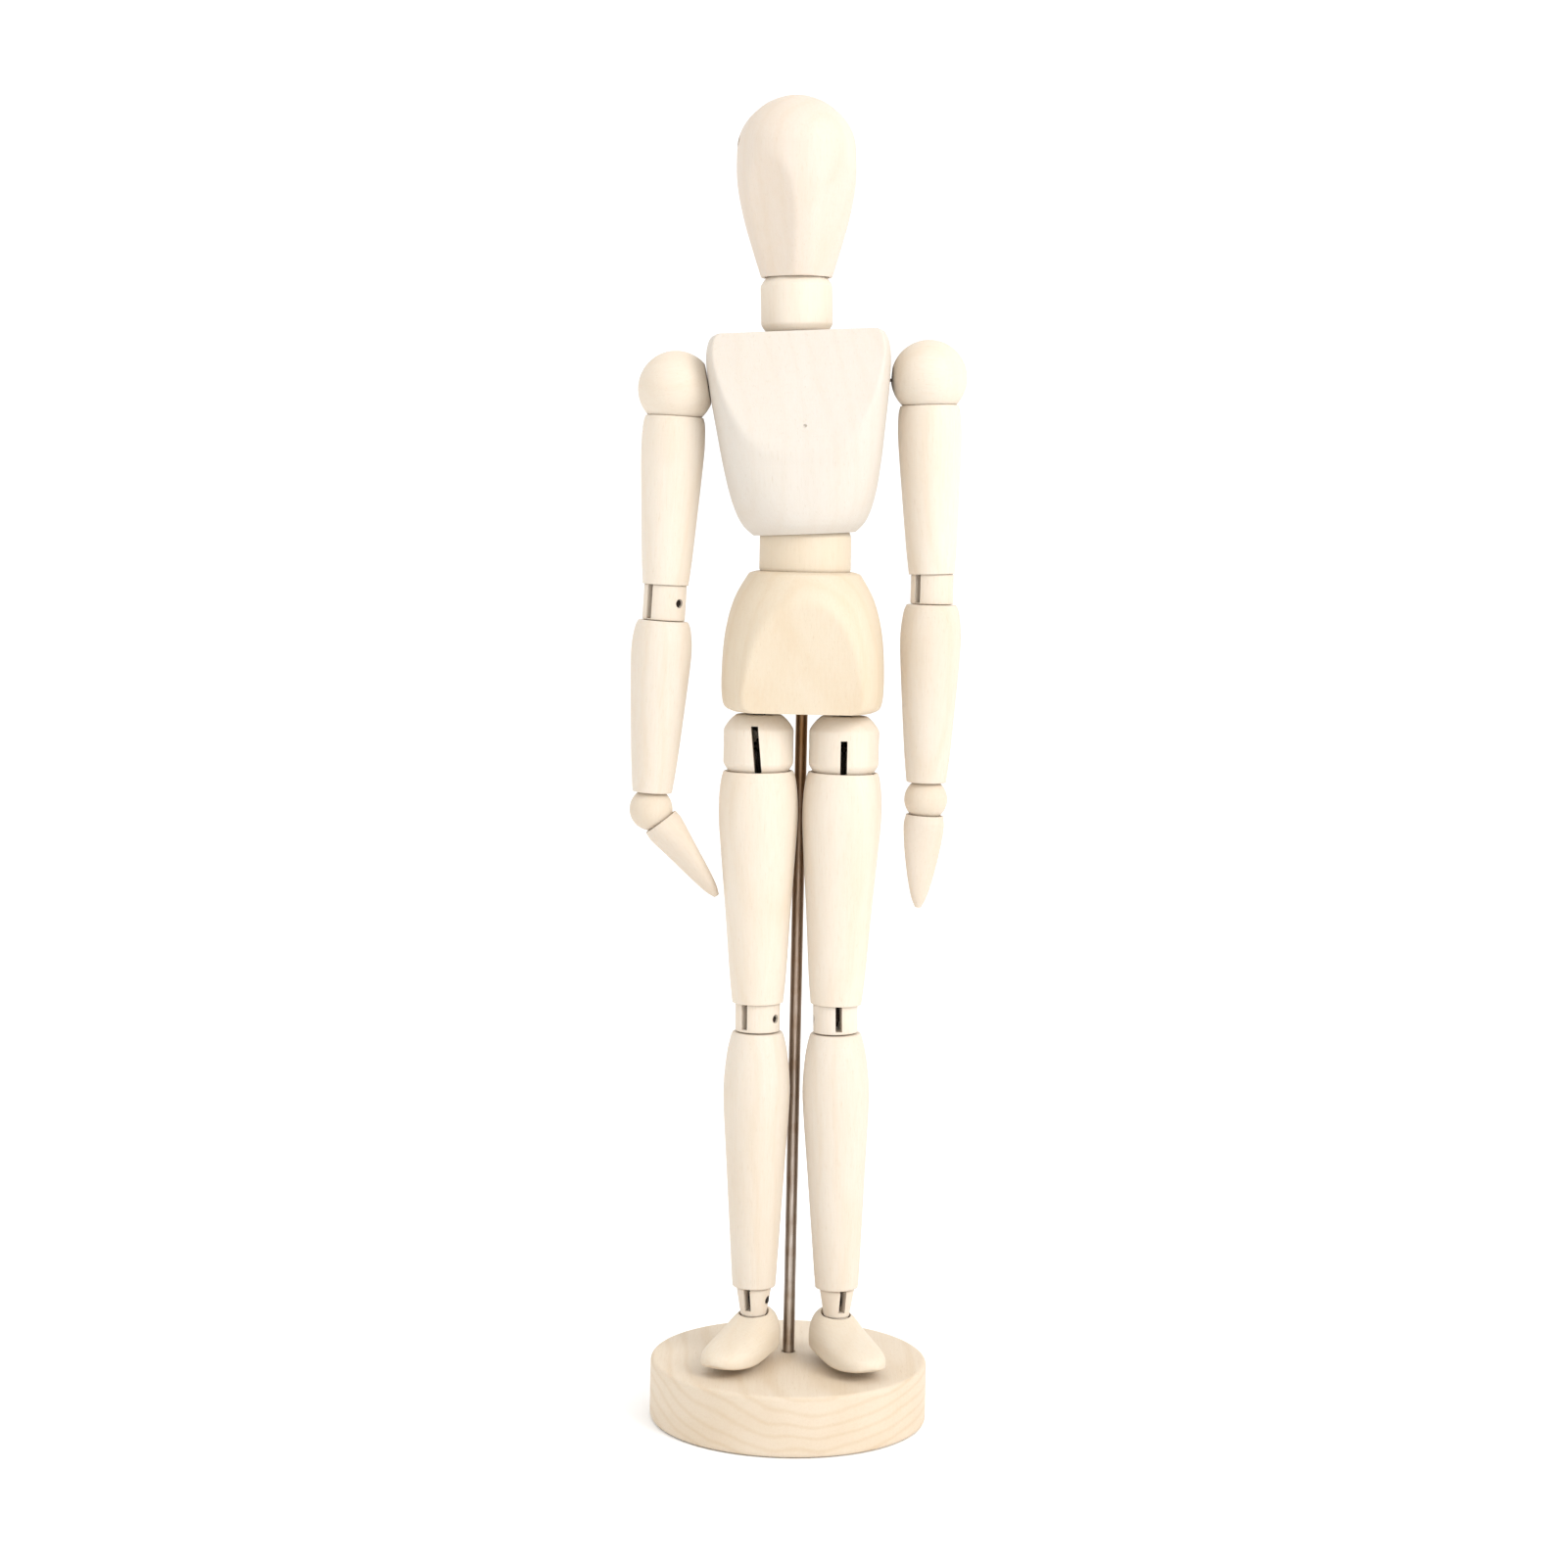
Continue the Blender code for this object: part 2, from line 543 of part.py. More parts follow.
def knuckle(radius, ball, foot, dowel_r, dowel_down, open_side, taper=None, slot_down=0.92):
    """A slotted turned knuckle on a dowel; the pin lies along X and the slot is sawn front to back."""
    flat = math.sqrt(ball * ball - radius * radius)
    last = math.degrees(math.acos(flat / ball))
    top = [(r, -z) for r, z in arc(ball, 0, 0, last, 3)]
    lower = [(taper or radius, -foot)]
    if taper is None and foot > flat:
        edge = math.sqrt(max(ball * ball - foot * foot, 0.25))
        lower = [(radius, -flat), (min(edge, radius), -foot)]
    mesh = turned(top + lower + [(dowel_r, -foot), (dowel_r, -dowel_down + 0.15), (dowel_r - 0.15, -dowel_down), (0.0, -dowel_down)], False, AROUND)
    slot = block_mesh((-SLOT / 2, -4, -slot_down), (SLOT / 2, 4, 4))
    # the pin is driven in from one side only
    pin = rod_mesh(PIN_HOLE - 0.03, (-open_side * (radius - 0.45), 0, 0), (open_side * 4, 0, 0), 8)
    return cut(mesh, slot, pin)


def forearm(top):
    low = WRIST_BALL + SEAT_GAP
    rise = 1.50 - top           # a shorter knuckle lets the forearm start higher
    outer = smooth_profile([(r, z + rise * max(0.0, (z + 5.2) / 3.64)) for r, z in FOREARM_KNOTS], 1)
    cup = [(0.55, -WRIST_DOWN + 4.4)] + [
        (r, -WRIST_DOWN - z) for r, z in arc(low, 0, math.degrees(math.asin(0.55 / low)), seat_angle(low, 1.47), 2)]
    bore = [(0.92, -1.56 + rise), (0.92, -4.2), (0.0, -4.4)]
    start = [(0.0, -WRIST_DOWN + 4.6)]
    return turned(start + cup + outer + bore, False, AROUND)


HAND_SECTIONS = [(1.60, 1.58, -1.36), (1.72, 1.60, -1.95), (1.74, 1.50, -2.5), (1.62, 1.22, -3.8), (1.38, 0.95, -5.4),
                 (1.02, 0.72, -7.2), (0.66, 0.52, -8.5), (0.32, 0.28, -9.25)]


def hand():
    rings = [superellipse(a, b, 2.0, z, 14) for a, b, z in reversed(HAND_SECTIONS)]
    return cut(lofted(rings), ball_mesh(WRIST_BALL + SEAT_GAP, (0, 0, 0), 14, 10))


for side, (sign, *_rest) in ARM.items():
    frame = "shoulder_" + side
    node("shoulder_ball_" + side, shoulder_ball(sign, SHOULDER_FLAT[side]), frame, PALE)
    steel("shoulder_pin_" + side, rod_mesh(PIN_R, (0, -1.55, 0), (0, 2.85, 0), 8), frame)
    swing = FRAMES["upper_arm_" + side]
    # The link hangs in the slot of the ball, so it keeps the ball's front.
    hook_frame = "hook_arm_" + side
    FRAMES[hook_frame] = shift(*swing.translation) @ turn("Y", ARM[side][1])
    empty = bpy.data.objects.new("joint_" + hook_frame, None)
    bpy.context.scene.collection.objects.link(empty)
    empty.matrix_world = Matrix.Translation(FRAMES[hook_frame].translation * MM) @ FRAMES[hook_frame].to_3x3().to_4x4()
    EMPTIES[hook_frame] = empty
    steel("arm_hook_" + side, link_plate(0.66, 0.8, 8.6, PLATE, "Y"), hook_frame)
    node("upper_arm_" + side, upper_arm(), "upper_arm_" + side, PALE)
    tongue = link_plate(0.78, 1.3, 5.0, PLATE, "X")
    tongue.transform(shift(0, 0, -ELBOW_DOWN) @ turn("X", 180))
    steel("elbow_tongue_" + side, tongue, "upper_arm_" + side)
    node("elbow_knuckle_" + side, knuckle(ELBOW_R, ELBOW_BALL, ELBOW_FOOT[side], 0.80, 3.7, -sign, None, ELBOW_FOOT[side] - 0.10), "elbow_" + side, WARM)
    steel("elbow_pin_" + side, rod_mesh(PIN_R - 0.03, (sign * 1.30, 0, 0), (-sign * 1.66, 0, 0), 8), "elbow_" + side)
    node("forearm_" + side, forearm(ELBOW_FOOT[side]), "elbow_" + side, PALE)
    stem = [(0.0, -WRIST_BALL)] + arc(WRIST_BALL, 0, 15, 180 - math.degrees(math.asin(0.42 / WRIST_BALL)), 7) + [
        (0.42, 4.1), (0.0, 4.2)]
    node("wrist_ball_" + side, turned(stem, False, 12), "wrist_" + side, WARM)
    node("hand_" + side, hand(), "hand_" + side, PALE)


# ---------------------------------------------------------------------- legs
HIP_SLOT = {"left": (0.75, 0.56, 0.0, 0.0), "right": (1.85, 0.60, -0.0725, -0.0987)}   # top, width, offset, slope


def hip_ball(slot_top, width, offset, slope):
    """A turned ball, flat on top where it meets the pelvis; its slot runs from below up the front."""
    flat = math.sqrt(HIP_BALL ** 2 - HIP_R ** 2)
    low = math.degrees(math.acos(flat / HIP_BALL))
    lower = arc(HIP_BALL, 0, 0, low, 4)
    upper = [(r, -z) for r, z in reversed(arc(HIP_BALL, 0, math.degrees(math.acos(HIP_FLAT / HIP_BALL)), low, 2))]
    mesh = turned(lower + upper + [(0.62, HIP_FLAT), (0.62, 0.95), (0.0, 0.9)], False, AROUND)
    # the saw cut leans above the thigh and runs straight below it
    levels = (-4.0, -1.9, slot_top)
    rings = []
    for z in levels:
        x = offset + slope * max(z, -1.9)
        rings.append([(x - width / 2, -4, z), (x + width / 2, -4, z), (x + width / 2, 0.85, z), (x - width / 2, 0.85, z)])
    slot = lofted(rings)
    pin = rod_mesh(PIN_HOLE, (-4, 0, 0), (4, 0, 0), 8)
    return cut(mesh, slot, pin)


THIGH_KNOTS = [(2.20, -22.15), (2.45, -19.6), (2.80, -14.5), (3.20, -9.2), (3.40, -6.2), (3.36, -4.2), (3.20, -2.85), (3.00, -2.12)]
SHIN_KNOTS = [(1.88, -23.65), (2.06, -20.8), (2.50, -13.5), (2.84, -8.0), (2.86, -5.6), (2.62, -3.2), (2.32, -1.75), (2.14, -1.28)]


def thigh():
    top = HIP_BALL + SEAT_GAP
    low = KNEE_BALL + SEAT_GAP
    seat = arc(top, 0, seat_angle(top, THIGH_TOP), math.degrees(math.asin(0.95 / top)), 3)
    cup = [(0.0, -KNEE_DOWN + low)] + [(r, -KNEE_DOWN - z) for r, z in arc(low, 0, 18, seat_angle(low, KNEE_RIM), 2)]
    mesh = turned(cup + smooth_profile(THIGH_KNOTS, 1) + seat + [(0.95, -10.2), (0.0, -10.5)], False, AROUND)
    slit = block_mesh((-SLOT / 2, -0.85, -KNEE_DOWN + 1.5), (SLOT / 2, 0.85, -KNEE_DOWN + 5.3))
    return cut(mesh, slit)


def shin(twist):
    low = ANKLE_BALL + SEAT_GAP
    cup = [(0.0, -ANKLE_DOWN + low)] + [(r, -ANKLE_DOWN - z) for r, z in arc(low, 0, 20, seat_angle(low, ANKLE_RIM), 2)]
    mesh = turned(cup + smooth_profile(SHIN_KNOTS, 1) + [(0.92, -1.28), (0.92, -4.2), (0.0, -4.4)], False, AROUND)
    return cut(mesh, moved(block_mesh((-SLOT / 2, -0.85, 1.2), (SLOT / 2, 0.85, 4.5)),
                           shift(0, 0, -ANKLE_DOWN) @ turn("Z", twist)))


FOOT_STATIONS = [  # forward distance from the ankle, half width, height of the instep above the sole, lift of the sole
    (-2.60, 0.95, 2.60, 0.90), (-2.30, 1.45, 3.30, 0.45), (-1.70, 1.85, 3.86, 0.14), (-0.8, 2.12, 3.98, 0.02), (0.4, 2.25, 3.74, 0.0),
    (1.6, 2.34, 3.22, 0.0), (3.0, 2.42, 2.72, 0.0), (4.4, 2.42, 2.36, 0.0), (5.7, 2.22, 2.06, 0.10),
    (6.7, 1.78, 1.78, 0.24), (7.35, 1.20, 1.50, 0.42), (7.62, 0.62, 1.20, 0.62)]


def foot():
    rings = []
    for forward, half, high, lift in FOOT_STATIONS:
        ring = []
        count = 12
        for i in range(count):
            t = 2 * math.pi * (i + 0.5) / count
            c, s = math.cos(t), math.sin(t)
            power = 0.62 if s < 0 else 0.86
            x = half * math.copysign(abs(c) ** 0.80, c)
            mid = lift + (high - lift) * 0.30
            z = mid + (high - mid) * abs(s) ** power if s >= 0 else mid - (mid - lift) * abs(s) ** 0.45
            ring.append((x, -forward, z - SOLE_DOWN))
        rings.append(ring)
    socket = turned([(0.0, 0.6), (1.95, 0.6), (1.24, -1.45), (1.24, -2.75), (0.0, -2.75)], False, 12)
    return cut(lofted(rings), socket)


for side, (sign, _slot, _lean, _lean_shin, azimuth, toe) in LEG.items():
    frame = "hip_" + side
    node("hip_ball_" + side, hip_ball(*HIP_SLOT[side]), frame, WARM)
    steel("hip_pin_" + side, rod_mesh(PIN_R, (-2.72, 0, 0), (2.72, 0, 0), 8), frame)
    pivot = turned([(0.0, 1.35), (0.36, 1.35), (0.52, 1.5), (0.52, 5.5), (0.36, 5.65), (0.0, 5.65)], False, 8)
    pivot.transform(shift(sign * HIP_OUT, 0, HIP_Z))
    steel("hip_pivot_" + side, pivot, "figure")
    steel("hip_hook_" + side, link_plate(0.66, 0.8, 9.6, 0.30, "X"), "hook_" + side)
    node("thigh_" + side, thigh(), "thigh_" + side, PALE)
    tongue = link_plate(0.78, 1.3, 5.0, PLATE, "X")
    tongue.transform(shift(0, 0, -KNEE_DOWN) @ turn("X", 180))
    steel("knee_tongue_" + side, tongue, "thigh_" + side)
    node("knee_knuckle_" + side, knuckle(KNEE_R, KNEE_BALL, 1.17, 0.80, 3.7, -sign), "knee_" + side, WARM)
    steel("knee_pin_" + side, rod_mesh(PIN_R - 0.03, (sign * 1.42, 0, 0), (-sign * 1.78, 0, 0), 8), "knee_" + side)
    node("shin_" + side, shin(toe - azimuth), "knee_" + side, PALE)
    tongue = link_plate(0.70, 1.1, 4.2, PLATE, "X")
    tongue.transform(shift(0, 0, -ANKLE_DOWN) @ turn("Z", toe - azimuth) @ turn("X", 180))
    steel("ankle_tongue_" + side, tongue, "knee_" + side)
    node("ankle_knuckle_" + side, knuckle(ANKLE_R, ANKLE_BALL, 1.35, 1.02, 2.6, 1, 1.12), "ankle_" + side, WARM)
    steel("ankle_pin_" + side, rod_mesh(PIN_R - 0.03, (-1.0, 0, 0), (1.36, 0, 0), 8), "ankle_" + side)
    node("foot_" + side, foot(), "ankle_" + side, PALE)
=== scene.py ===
import json
import math

import bmesh
import bpy
from mathutils import Matrix, Vector


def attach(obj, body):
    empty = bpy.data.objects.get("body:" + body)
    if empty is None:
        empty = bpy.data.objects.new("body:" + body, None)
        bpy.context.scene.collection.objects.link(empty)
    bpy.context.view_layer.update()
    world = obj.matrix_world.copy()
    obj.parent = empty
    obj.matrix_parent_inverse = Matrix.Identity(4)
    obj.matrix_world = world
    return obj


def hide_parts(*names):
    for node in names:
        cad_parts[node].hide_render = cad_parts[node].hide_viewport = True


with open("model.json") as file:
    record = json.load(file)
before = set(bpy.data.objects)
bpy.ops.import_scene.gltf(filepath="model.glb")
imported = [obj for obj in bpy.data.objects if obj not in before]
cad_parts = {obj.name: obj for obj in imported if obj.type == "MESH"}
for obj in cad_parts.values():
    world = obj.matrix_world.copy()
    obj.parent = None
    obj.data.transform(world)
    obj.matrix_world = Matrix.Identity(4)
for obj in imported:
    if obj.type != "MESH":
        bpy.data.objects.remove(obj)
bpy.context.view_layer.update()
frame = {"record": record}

MM = 0.001
BODY_OF = {node: body for body, nodes in frame["record"]["behaviour"]["bodies"].items() for node in nodes}

# ---------------------------------------------------------------- dimensions
BASE_R, BASE_H = 12.05, 5.25
ROD_R, ROD_Y, ROD_SEAT, ROD_TOP = 0.52, 1.70, 1.6, 68.2
FIGURE_Y = -0.70
WAIST_Z, WAIST_R, WAIST_BALL, WAIST_RIM = 75.40, 3.90, 4.14, 1.55
SEAT_GAP = 0.15
CHEST_LEAN = 3.2
NECK_UP, NECK_R, NECK_BALL, NECK_RIM = 20.85, 3.03, 3.43, 2.30
HEAD_LEAN, HEAD_TURN, HEAD_TOP = 1.2, 9.0, 17.45
SHOULDER_OUT = {"left": 10.98, "right": 10.45}
SHOULDER_UP = {"left": 14.35, "right": 14.20}
SHOULDER_BALL, SHOULDER_CANT = 3.15, 7.0
SHOULDER_FLAT = {"left": 3.00, "right": 2.75}
ARM_TOP, ELBOW_DOWN, WRIST_DOWN = 2.30, 18.05, 17.75
ELBOW_R, ELBOW_BALL, ELBOW_RIM = 1.82, 2.32, 1.52
WRIST_BALL = 1.85
HIP_OUT, HIP_Z = 3.66, 58.85
HIP_R, HIP_BALL, HIP_FLAT, THIGH_TOP = 3.00, 3.33, 2.72, 2.12
KNEE_DOWN, ANKLE_DOWN = 23.45, 24.80
KNEE_R, KNEE_BALL, KNEE_RIM = 1.93, 2.30, 1.30
ANKLE_R, ANKLE_BALL, ANKLE_RIM = 1.50, 1.75, 1.15
SOLE_DOWN = 4.83
PIN_R, PIN_HOLE = 0.33, 0.41
PLATE, SLOT = 0.36, 0.56
WIRE = 0.15
FULL = 96                       # facets round a turned piece


# -------------------------------------------------------------------- frames
def turn(axis, degrees):
    return Matrix.Rotation(math.radians(degrees), 4, axis)


def shift(x, y, z):
    return Matrix.Translation((x, y, z))


F_FIGURE = shift(0, FIGURE_Y, 0)
F_WAIST = shift(0, FIGURE_Y, WAIST_Z)
F_CHEST = F_WAIST @ turn("Y", -CHEST_LEAN)
F_NECK = F_CHEST @ shift(0, 0, NECK_UP) @ turn("Y", CHEST_LEAN - 2.2)
F_HEAD = shift(*(F_CHEST @ Vector((0, 0, NECK_UP)))) @ turn("Y", -HEAD_LEAN) @ turn("Z", HEAD_TURN)
ARM = {
    # outward sign, upper arm lean, forearm lean, elbow azimuth, hand lean, hand twist
    "left": (1, -2.2, 0.3, -45.0, 2.7, 8.0),
    "right": (-1, 2.15, 2.8, -43.0, -38.0, -48.0),
}
LEG = {
    # outward sign, hip slot azimuth, thigh lean, shin lean, knee azimuth, foot azimuth
    "left": (1, -1.0, 0.53, -1.5, 8.0, 22.0),
    "right": (-1, -2.0, -0.94, -0.3, -36.0, -24.0),
}
FRAMES = {"world": Matrix.Identity(4), "figure": F_FIGURE, "waist": F_WAIST, "chest": F_CHEST, "neck": F_NECK, "head": F_HEAD}
for side, (sign, lean_a, lean_f, azimuth, lean_h, twist) in ARM.items():
    at = F_CHEST @ Vector((sign * SHOULDER_OUT[side], 0, SHOULDER_UP[side]))
    FRAMES["shoulder_" + side] = shift(*at) @ turn("Y", -CHEST_LEAN + sign * SHOULDER_CANT)
    FRAMES["hook_arm_" + side] = shift(*at) @ turn("Y", lean_a)
    FRAMES["upper_arm_" + side] = shift(*at) @ turn("Y", lean_a) @ turn("Z", azimuth)
    elbow = FRAMES["upper_arm_" + side] @ Vector((0, 0, -ELBOW_DOWN))
    FRAMES["elbow_" + side] = shift(*elbow) @ turn("Y", lean_f) @ turn("Z", azimuth)
    wrist = FRAMES["elbow_" + side] @ Vector((0, 0, -WRIST_DOWN))
    FRAMES["wrist_" + side] = shift(*wrist) @ turn("Y", lean_f) @ turn("Z", twist)
    FRAMES["hand_" + side] = shift(*wrist) @ turn("Y", lean_h) @ turn("Z", twist)
for side, (sign, slot_at, lean_t, lean_s, azimuth, toe) in LEG.items():
    at = Vector((sign * HIP_OUT, FIGURE_Y, HIP_Z))
    FRAMES["hip_" + side] = shift(*at) @ turn("Z", slot_at)
    FRAMES["hook_" + side] = shift(*at) @ turn("Y", lean_t) @ turn("Z", slot_at)
    FRAMES["thigh_" + side] = shift(*at) @ turn("Y", lean_t) @ turn("Z", azimuth)
    knee = FRAMES["thigh_" + side] @ Vector((0, 0, -KNEE_DOWN))
    FRAMES["knee_" + side] = shift(*knee) @ turn("Y", lean_s) @ turn("Z", azimuth)
    ankle = FRAMES["knee_" + side] @ Vector((0, 0, -ANKLE_DOWN))
    FRAMES["ankle_" + side] = shift(*ankle) @ turn("Z", toe)


# ------------------------------------------------------------------- meshing
def finish(bm, name, dist=1e-5):
    bmesh.ops.remove_doubles(bm, verts=bm.verts, dist=dist)
    bmesh.ops.recalc_face_normals(bm, faces=bm.faces)
    mesh = bpy.data.meshes.new(name)
    bm.to_mesh(mesh)
    bm.free()
    return mesh


def polar(profile, around=FULL, shape=None, name="turned"):
    """Skins (radius, height) rings about Z; shape(index, radius, height, angle) may move each point."""
    bm = bmesh.new()
    rows = []
    for k, (r, z) in enumerate(profile):
        if r < 1e-6:
            rows.append([bm.verts.new((0, 0, z))])
            continue
        row = []
        for i in range(around):
            a = 2 * math.pi * i / around
            row.append(bm.verts.new(shape(k, r, z, a) if shape else (r * math.cos(a), r * math.sin(a), z)))
        rows.append(row)
    pairs = list(zip(rows, rows[1:]))
    if len(rows[0]) > 1 and len(rows[-1]) > 1:
        pairs.append((rows[-1], rows[0]))
    for low, high in pairs:
        for i in range(around):
            j = (i + 1) % around
            corners = [low[i % len(low)], low[j % len(low)], high[j % len(high)], high[i % len(high)]]
            distinct = []
            for corner in corners:
                if corner not in distinct:
                    distinct.append(corner)
            if len(distinct) > 2:
                bm.faces.new(distinct)
    return finish(bm, name)


def fillet(points, radius=0.12, least=24.0, steps=4):
    """Rounds every sharp corner of a (radius, height) line, as sanding does."""
    pts = [Vector(points[0])]
    for p in points[1:]:
        if (Vector(p) - pts[-1]).length > 1e-5:
            pts.append(Vector(p))
    run = [0.0]
    for a, b in zip(pts, pts[1:]):
        run.append(run[-1] + (b - a).length)
    corners = []
    for i in range(1, len(pts) - 1):
        a, b = (pts[i] - pts[i - 1]).normalized(), (pts[i + 1] - pts[i]).normalized()
        if math.degrees(a.angle(b)) > least:
            corners.append(i)
    marks = [0.0] + [run[i] for i in corners] + [run[-1]]
    reach = {i: min(radius, 0.45 * (run[i] - marks[k]), 0.45 * (marks[k + 2] - run[i])) for k, i in enumerate(corners)}

    def along(s):
        for k in range(len(run) - 1):
            if s <= run[k + 1]:
                t = (s - run[k]) / (run[k + 1] - run[k])
                return pts[k].lerp(pts[k + 1], max(0.0, t))
        return pts[-1]

    out = []
    for i, p in enumerate(pts):
        if i in reach:
            a, b = along(run[i] - reach[i]), along(run[i] + reach[i])
            for k in range(steps + 1):
                t = k / steps
                out.append(tuple(a * (1 - t) ** 2 + p * (2 * t * (1 - t)) + b * t * t))
        elif all(abs(run[i] - run[c]) > reach[c] * 1.05 for c in corners):
            out.append(tuple(p))
    return out


def lofted(rings, name="loft", caps=True):
    bm = bmesh.new()
    made = [[bm.verts.new(p) for p in ring] for ring in rings]
    n = len(rings[0])
    for low, high in zip(made, made[1:]):
        for i in range(n):
            j = (i + 1) % n
            bm.faces.new((low[i], low[j], high[j], high[i]))
    if caps:
        bm.faces.new(list(reversed(made[0])))
        bm.faces.new(made[-1])
    return finish(bm, name)


def bar(radius, start, end, around=24, chamfer=0.0):
    """A round bar between two points, its ends rounded over."""
    start, end = Vector(start), Vector(end)
    length = (end - start).length
    way = (end - start).normalized()
    c = min(chamfer, radius * 0.6)
    profile = [(0.0, 0.0), (radius, 0.0), (radius, length), (0.0, length)]
    mesh = polar(fillet(profile, c) if c else profile, around)
    mesh.transform(Matrix.Translation(start) @ way.to_track_quat("Z", "Y").to_matrix().to_4x4())
    return mesh


def block(low, high):
    rings = []
    for z in (low[2], high[2]):
        rings.append([(low[0], low[1], z), (high[0], low[1], z), (high[0], high[1], z), (low[0], high[1], z)])
    return lofted(rings)


def ball(radius, centre=(0, 0, 0), around=FULL, rows=48):
    profile = [(radius * math.sin(math.pi * k / rows), centre[2] - radius * math.cos(math.pi * k / rows)) for k in range(rows + 1)]
    profile[0] = (0.0, centre[2] - radius)
    profile[-1] = (0.0, centre[2] + radius)
    mesh = polar(profile, around)
    mesh.transform(shift(centre[0], centre[1], 0))
    return mesh


def swept(points, radius, around=12):
    points = [Vector(p) for p in points]
    rings, side = [], None
    for i, p in enumerate(points):
        way = (points[min(i + 1, len(points) - 1)] - points[max(i - 1, 0)]).normalized()
        side = way.orthogonal() if side is None else side - way * side.dot(way)
        side.normalize()
        up = way.cross(side)
        rings.append([p + radius * (math.cos(2 * math.pi * k / around) * side + math.sin(2 * math.pi * k / around) * up)
                      for k in range(around)])
    return lofted(rings)


def is_closed(mesh):
    bm = bmesh.new()
    bm.from_mesh(mesh)
    good = all(edge.is_manifold for edge in bm.edges)
    bm.free()
    return good


STANDS = [bpy.data.materials.new("stand_in_0"), bpy.data.materials.new("stand_in_1")]


def cut(mesh, *cutters):
    """Takes each cutter out of a mesh; the faces it leaves carry the second material slot, which later holds the
    painted slot shade.
    """
    mesh.materials.clear()
    for m in STANDS:
        mesh.materials.append(m)
    for cutter in cutters:
        shaded = 1
        if isinstance(cutter, tuple):
            cutter, shaded = cutter
        cutter.materials.clear()
        for m in STANDS:
            cutter.materials.append(m)
        cutter.polygons.foreach_set("material_index", [shaded] * len(cutter.polygons))
        for solver in ("EXACT", "MANIFOLD"):
            body = bpy.data.objects.new("working", mesh)
            tool = bpy.data.objects.new("tool", cutter)
            for item in (body, tool):
                bpy.context.scene.collection.objects.link(item)
            boolean = body.modifiers.new("cut", "BOOLEAN")
            boolean.operation = "DIFFERENCE"
            boolean.solver = solver
            boolean.object = tool
            bpy.context.view_layer.update()
            graph = bpy.context.evaluated_depsgraph_get()
            made = bpy.data.meshes.new_from_object(body.evaluated_get(graph))
            for item in (body, tool):
                bpy.data.objects.remove(item, do_unlink=True)
            if len(made.polygons) and is_closed(made):
                break
        mesh = made
    return mesh


def arc(radius, z0, a0, a1, steps):
    out = []
    for i in range(steps + 1):
        a = math.radians(a0 + (a1 - a0) * i / steps)
        out.append((radius * math.sin(a), z0 - radius * math.cos(a)))
    return out


def smooth_profile(knots, steps=7):
    pts = [knots[0]] + list(knots) + [knots[-1]]
    out = []
    for k in range(1, len(pts) - 2):
        p0, p1, p2, p3 = pts[k - 1:k + 3]
        for s in range(steps):
            t = s / steps
            out.append(tuple(
                0.5 * (2 * p1[i] + (p2[i] - p0[i]) * t + (2 * p0[i] - 5 * p1[i] + 4 * p2[i] - p3[i]) * t * t
                       + (3 * p1[i] - p0[i] - 3 * p2[i] + p3[i]) * t ** 3)
                for i in (0, 1)))
    out.append(knots[-1])
    return out


def seat_angle(seat, rim):
    return math.degrees(math.acos(rim / seat))


def soft_min(a, b, k):
    """The lesser of two lengths, blended where they meet, so a planed edge is slightly rounded."""
    h = max(k - abs(a - b), 0.0) / k
    return min(a, b) - h * h * k * 0.25


def link_plate(eye_r, width, length, thick, across):
    outline = []
    half = width / 2
    join = math.asin(half / eye_r)
    for i in range(25):
        a = -math.pi / 2 + join + (2 * math.pi - 2 * join) * i / 24
        outline.append((eye_r * math.cos(a), eye_r * math.sin(a)))
    for i in range(9):
        a = math.pi * i / 8
        outline.append((-half * math.cos(a), -length + half * 0.6 - half * 0.6 * math.sin(a)))
    e = 0.05
    levels = ((-thick / 2, 1 - e / 0.7), (-thick / 2 + e, 1.0), (thick / 2 - e, 1.0), (thick / 2, 1 - e / 0.7))
    if across == "Y":
        rings = [[(u * g, y, v * (g if v > -0.5 else 1)) for u, v in outline] for y, g in levels]
        hole = bar(PIN_HOLE + 0.02, (0, -2, 0), (0, 2, 0), 32)
    else:
        rings = [[(x, u * g, v * (g if v > -0.5 else 1)) for u, v in outline] for x, g in levels]
        hole = bar(PIN_HOLE + 0.02, (-2, 0, 0), (2, 0, 0), 32)
    return cut(lofted(rings), (hole, 0))


def spring_points(low_pin, high_pin, coil_low, coil_high, radius, turns, low_way, high_way, per_turn=20):
    hook = PIN_R + WIRE + 0.05
    points = []

    def side(way, a, z, r):
        return Vector((0, r * math.cos(a), z + r * math.sin(a))) if way == "X" else Vector((r * math.cos(a), 0, z + r * math.sin(a)))

    for i in range(19):
        points.append(side(low_way, math.radians(200 + 220 * i / 18), low_pin, hook))
    points.append(Vector((0, 0, low_pin + hook + 0.45)))
    points.append(Vector((radius * 0.5, 0, coil_low - 0.25)))
    total = int(turns * per_turn)
    for i in range(total + 1):
        a = 2 * math.pi * i / per_turn
        points.append(Vector((radius * math.cos(a), radius * math.sin(a), coil_low + (coil_high - coil_low) * i / total)))
    points.append(Vector((radius * 0.5 * math.cos(a), radius * 0.5 * math.sin(a), coil_high + 0.25)))
    points.append(Vector((0, 0, high_pin - hook - 0.45)))
    for i in range(19):
        points.append(side(high_way, math.radians(-60 + 220 * i / 18), high_pin, hook))
    return points


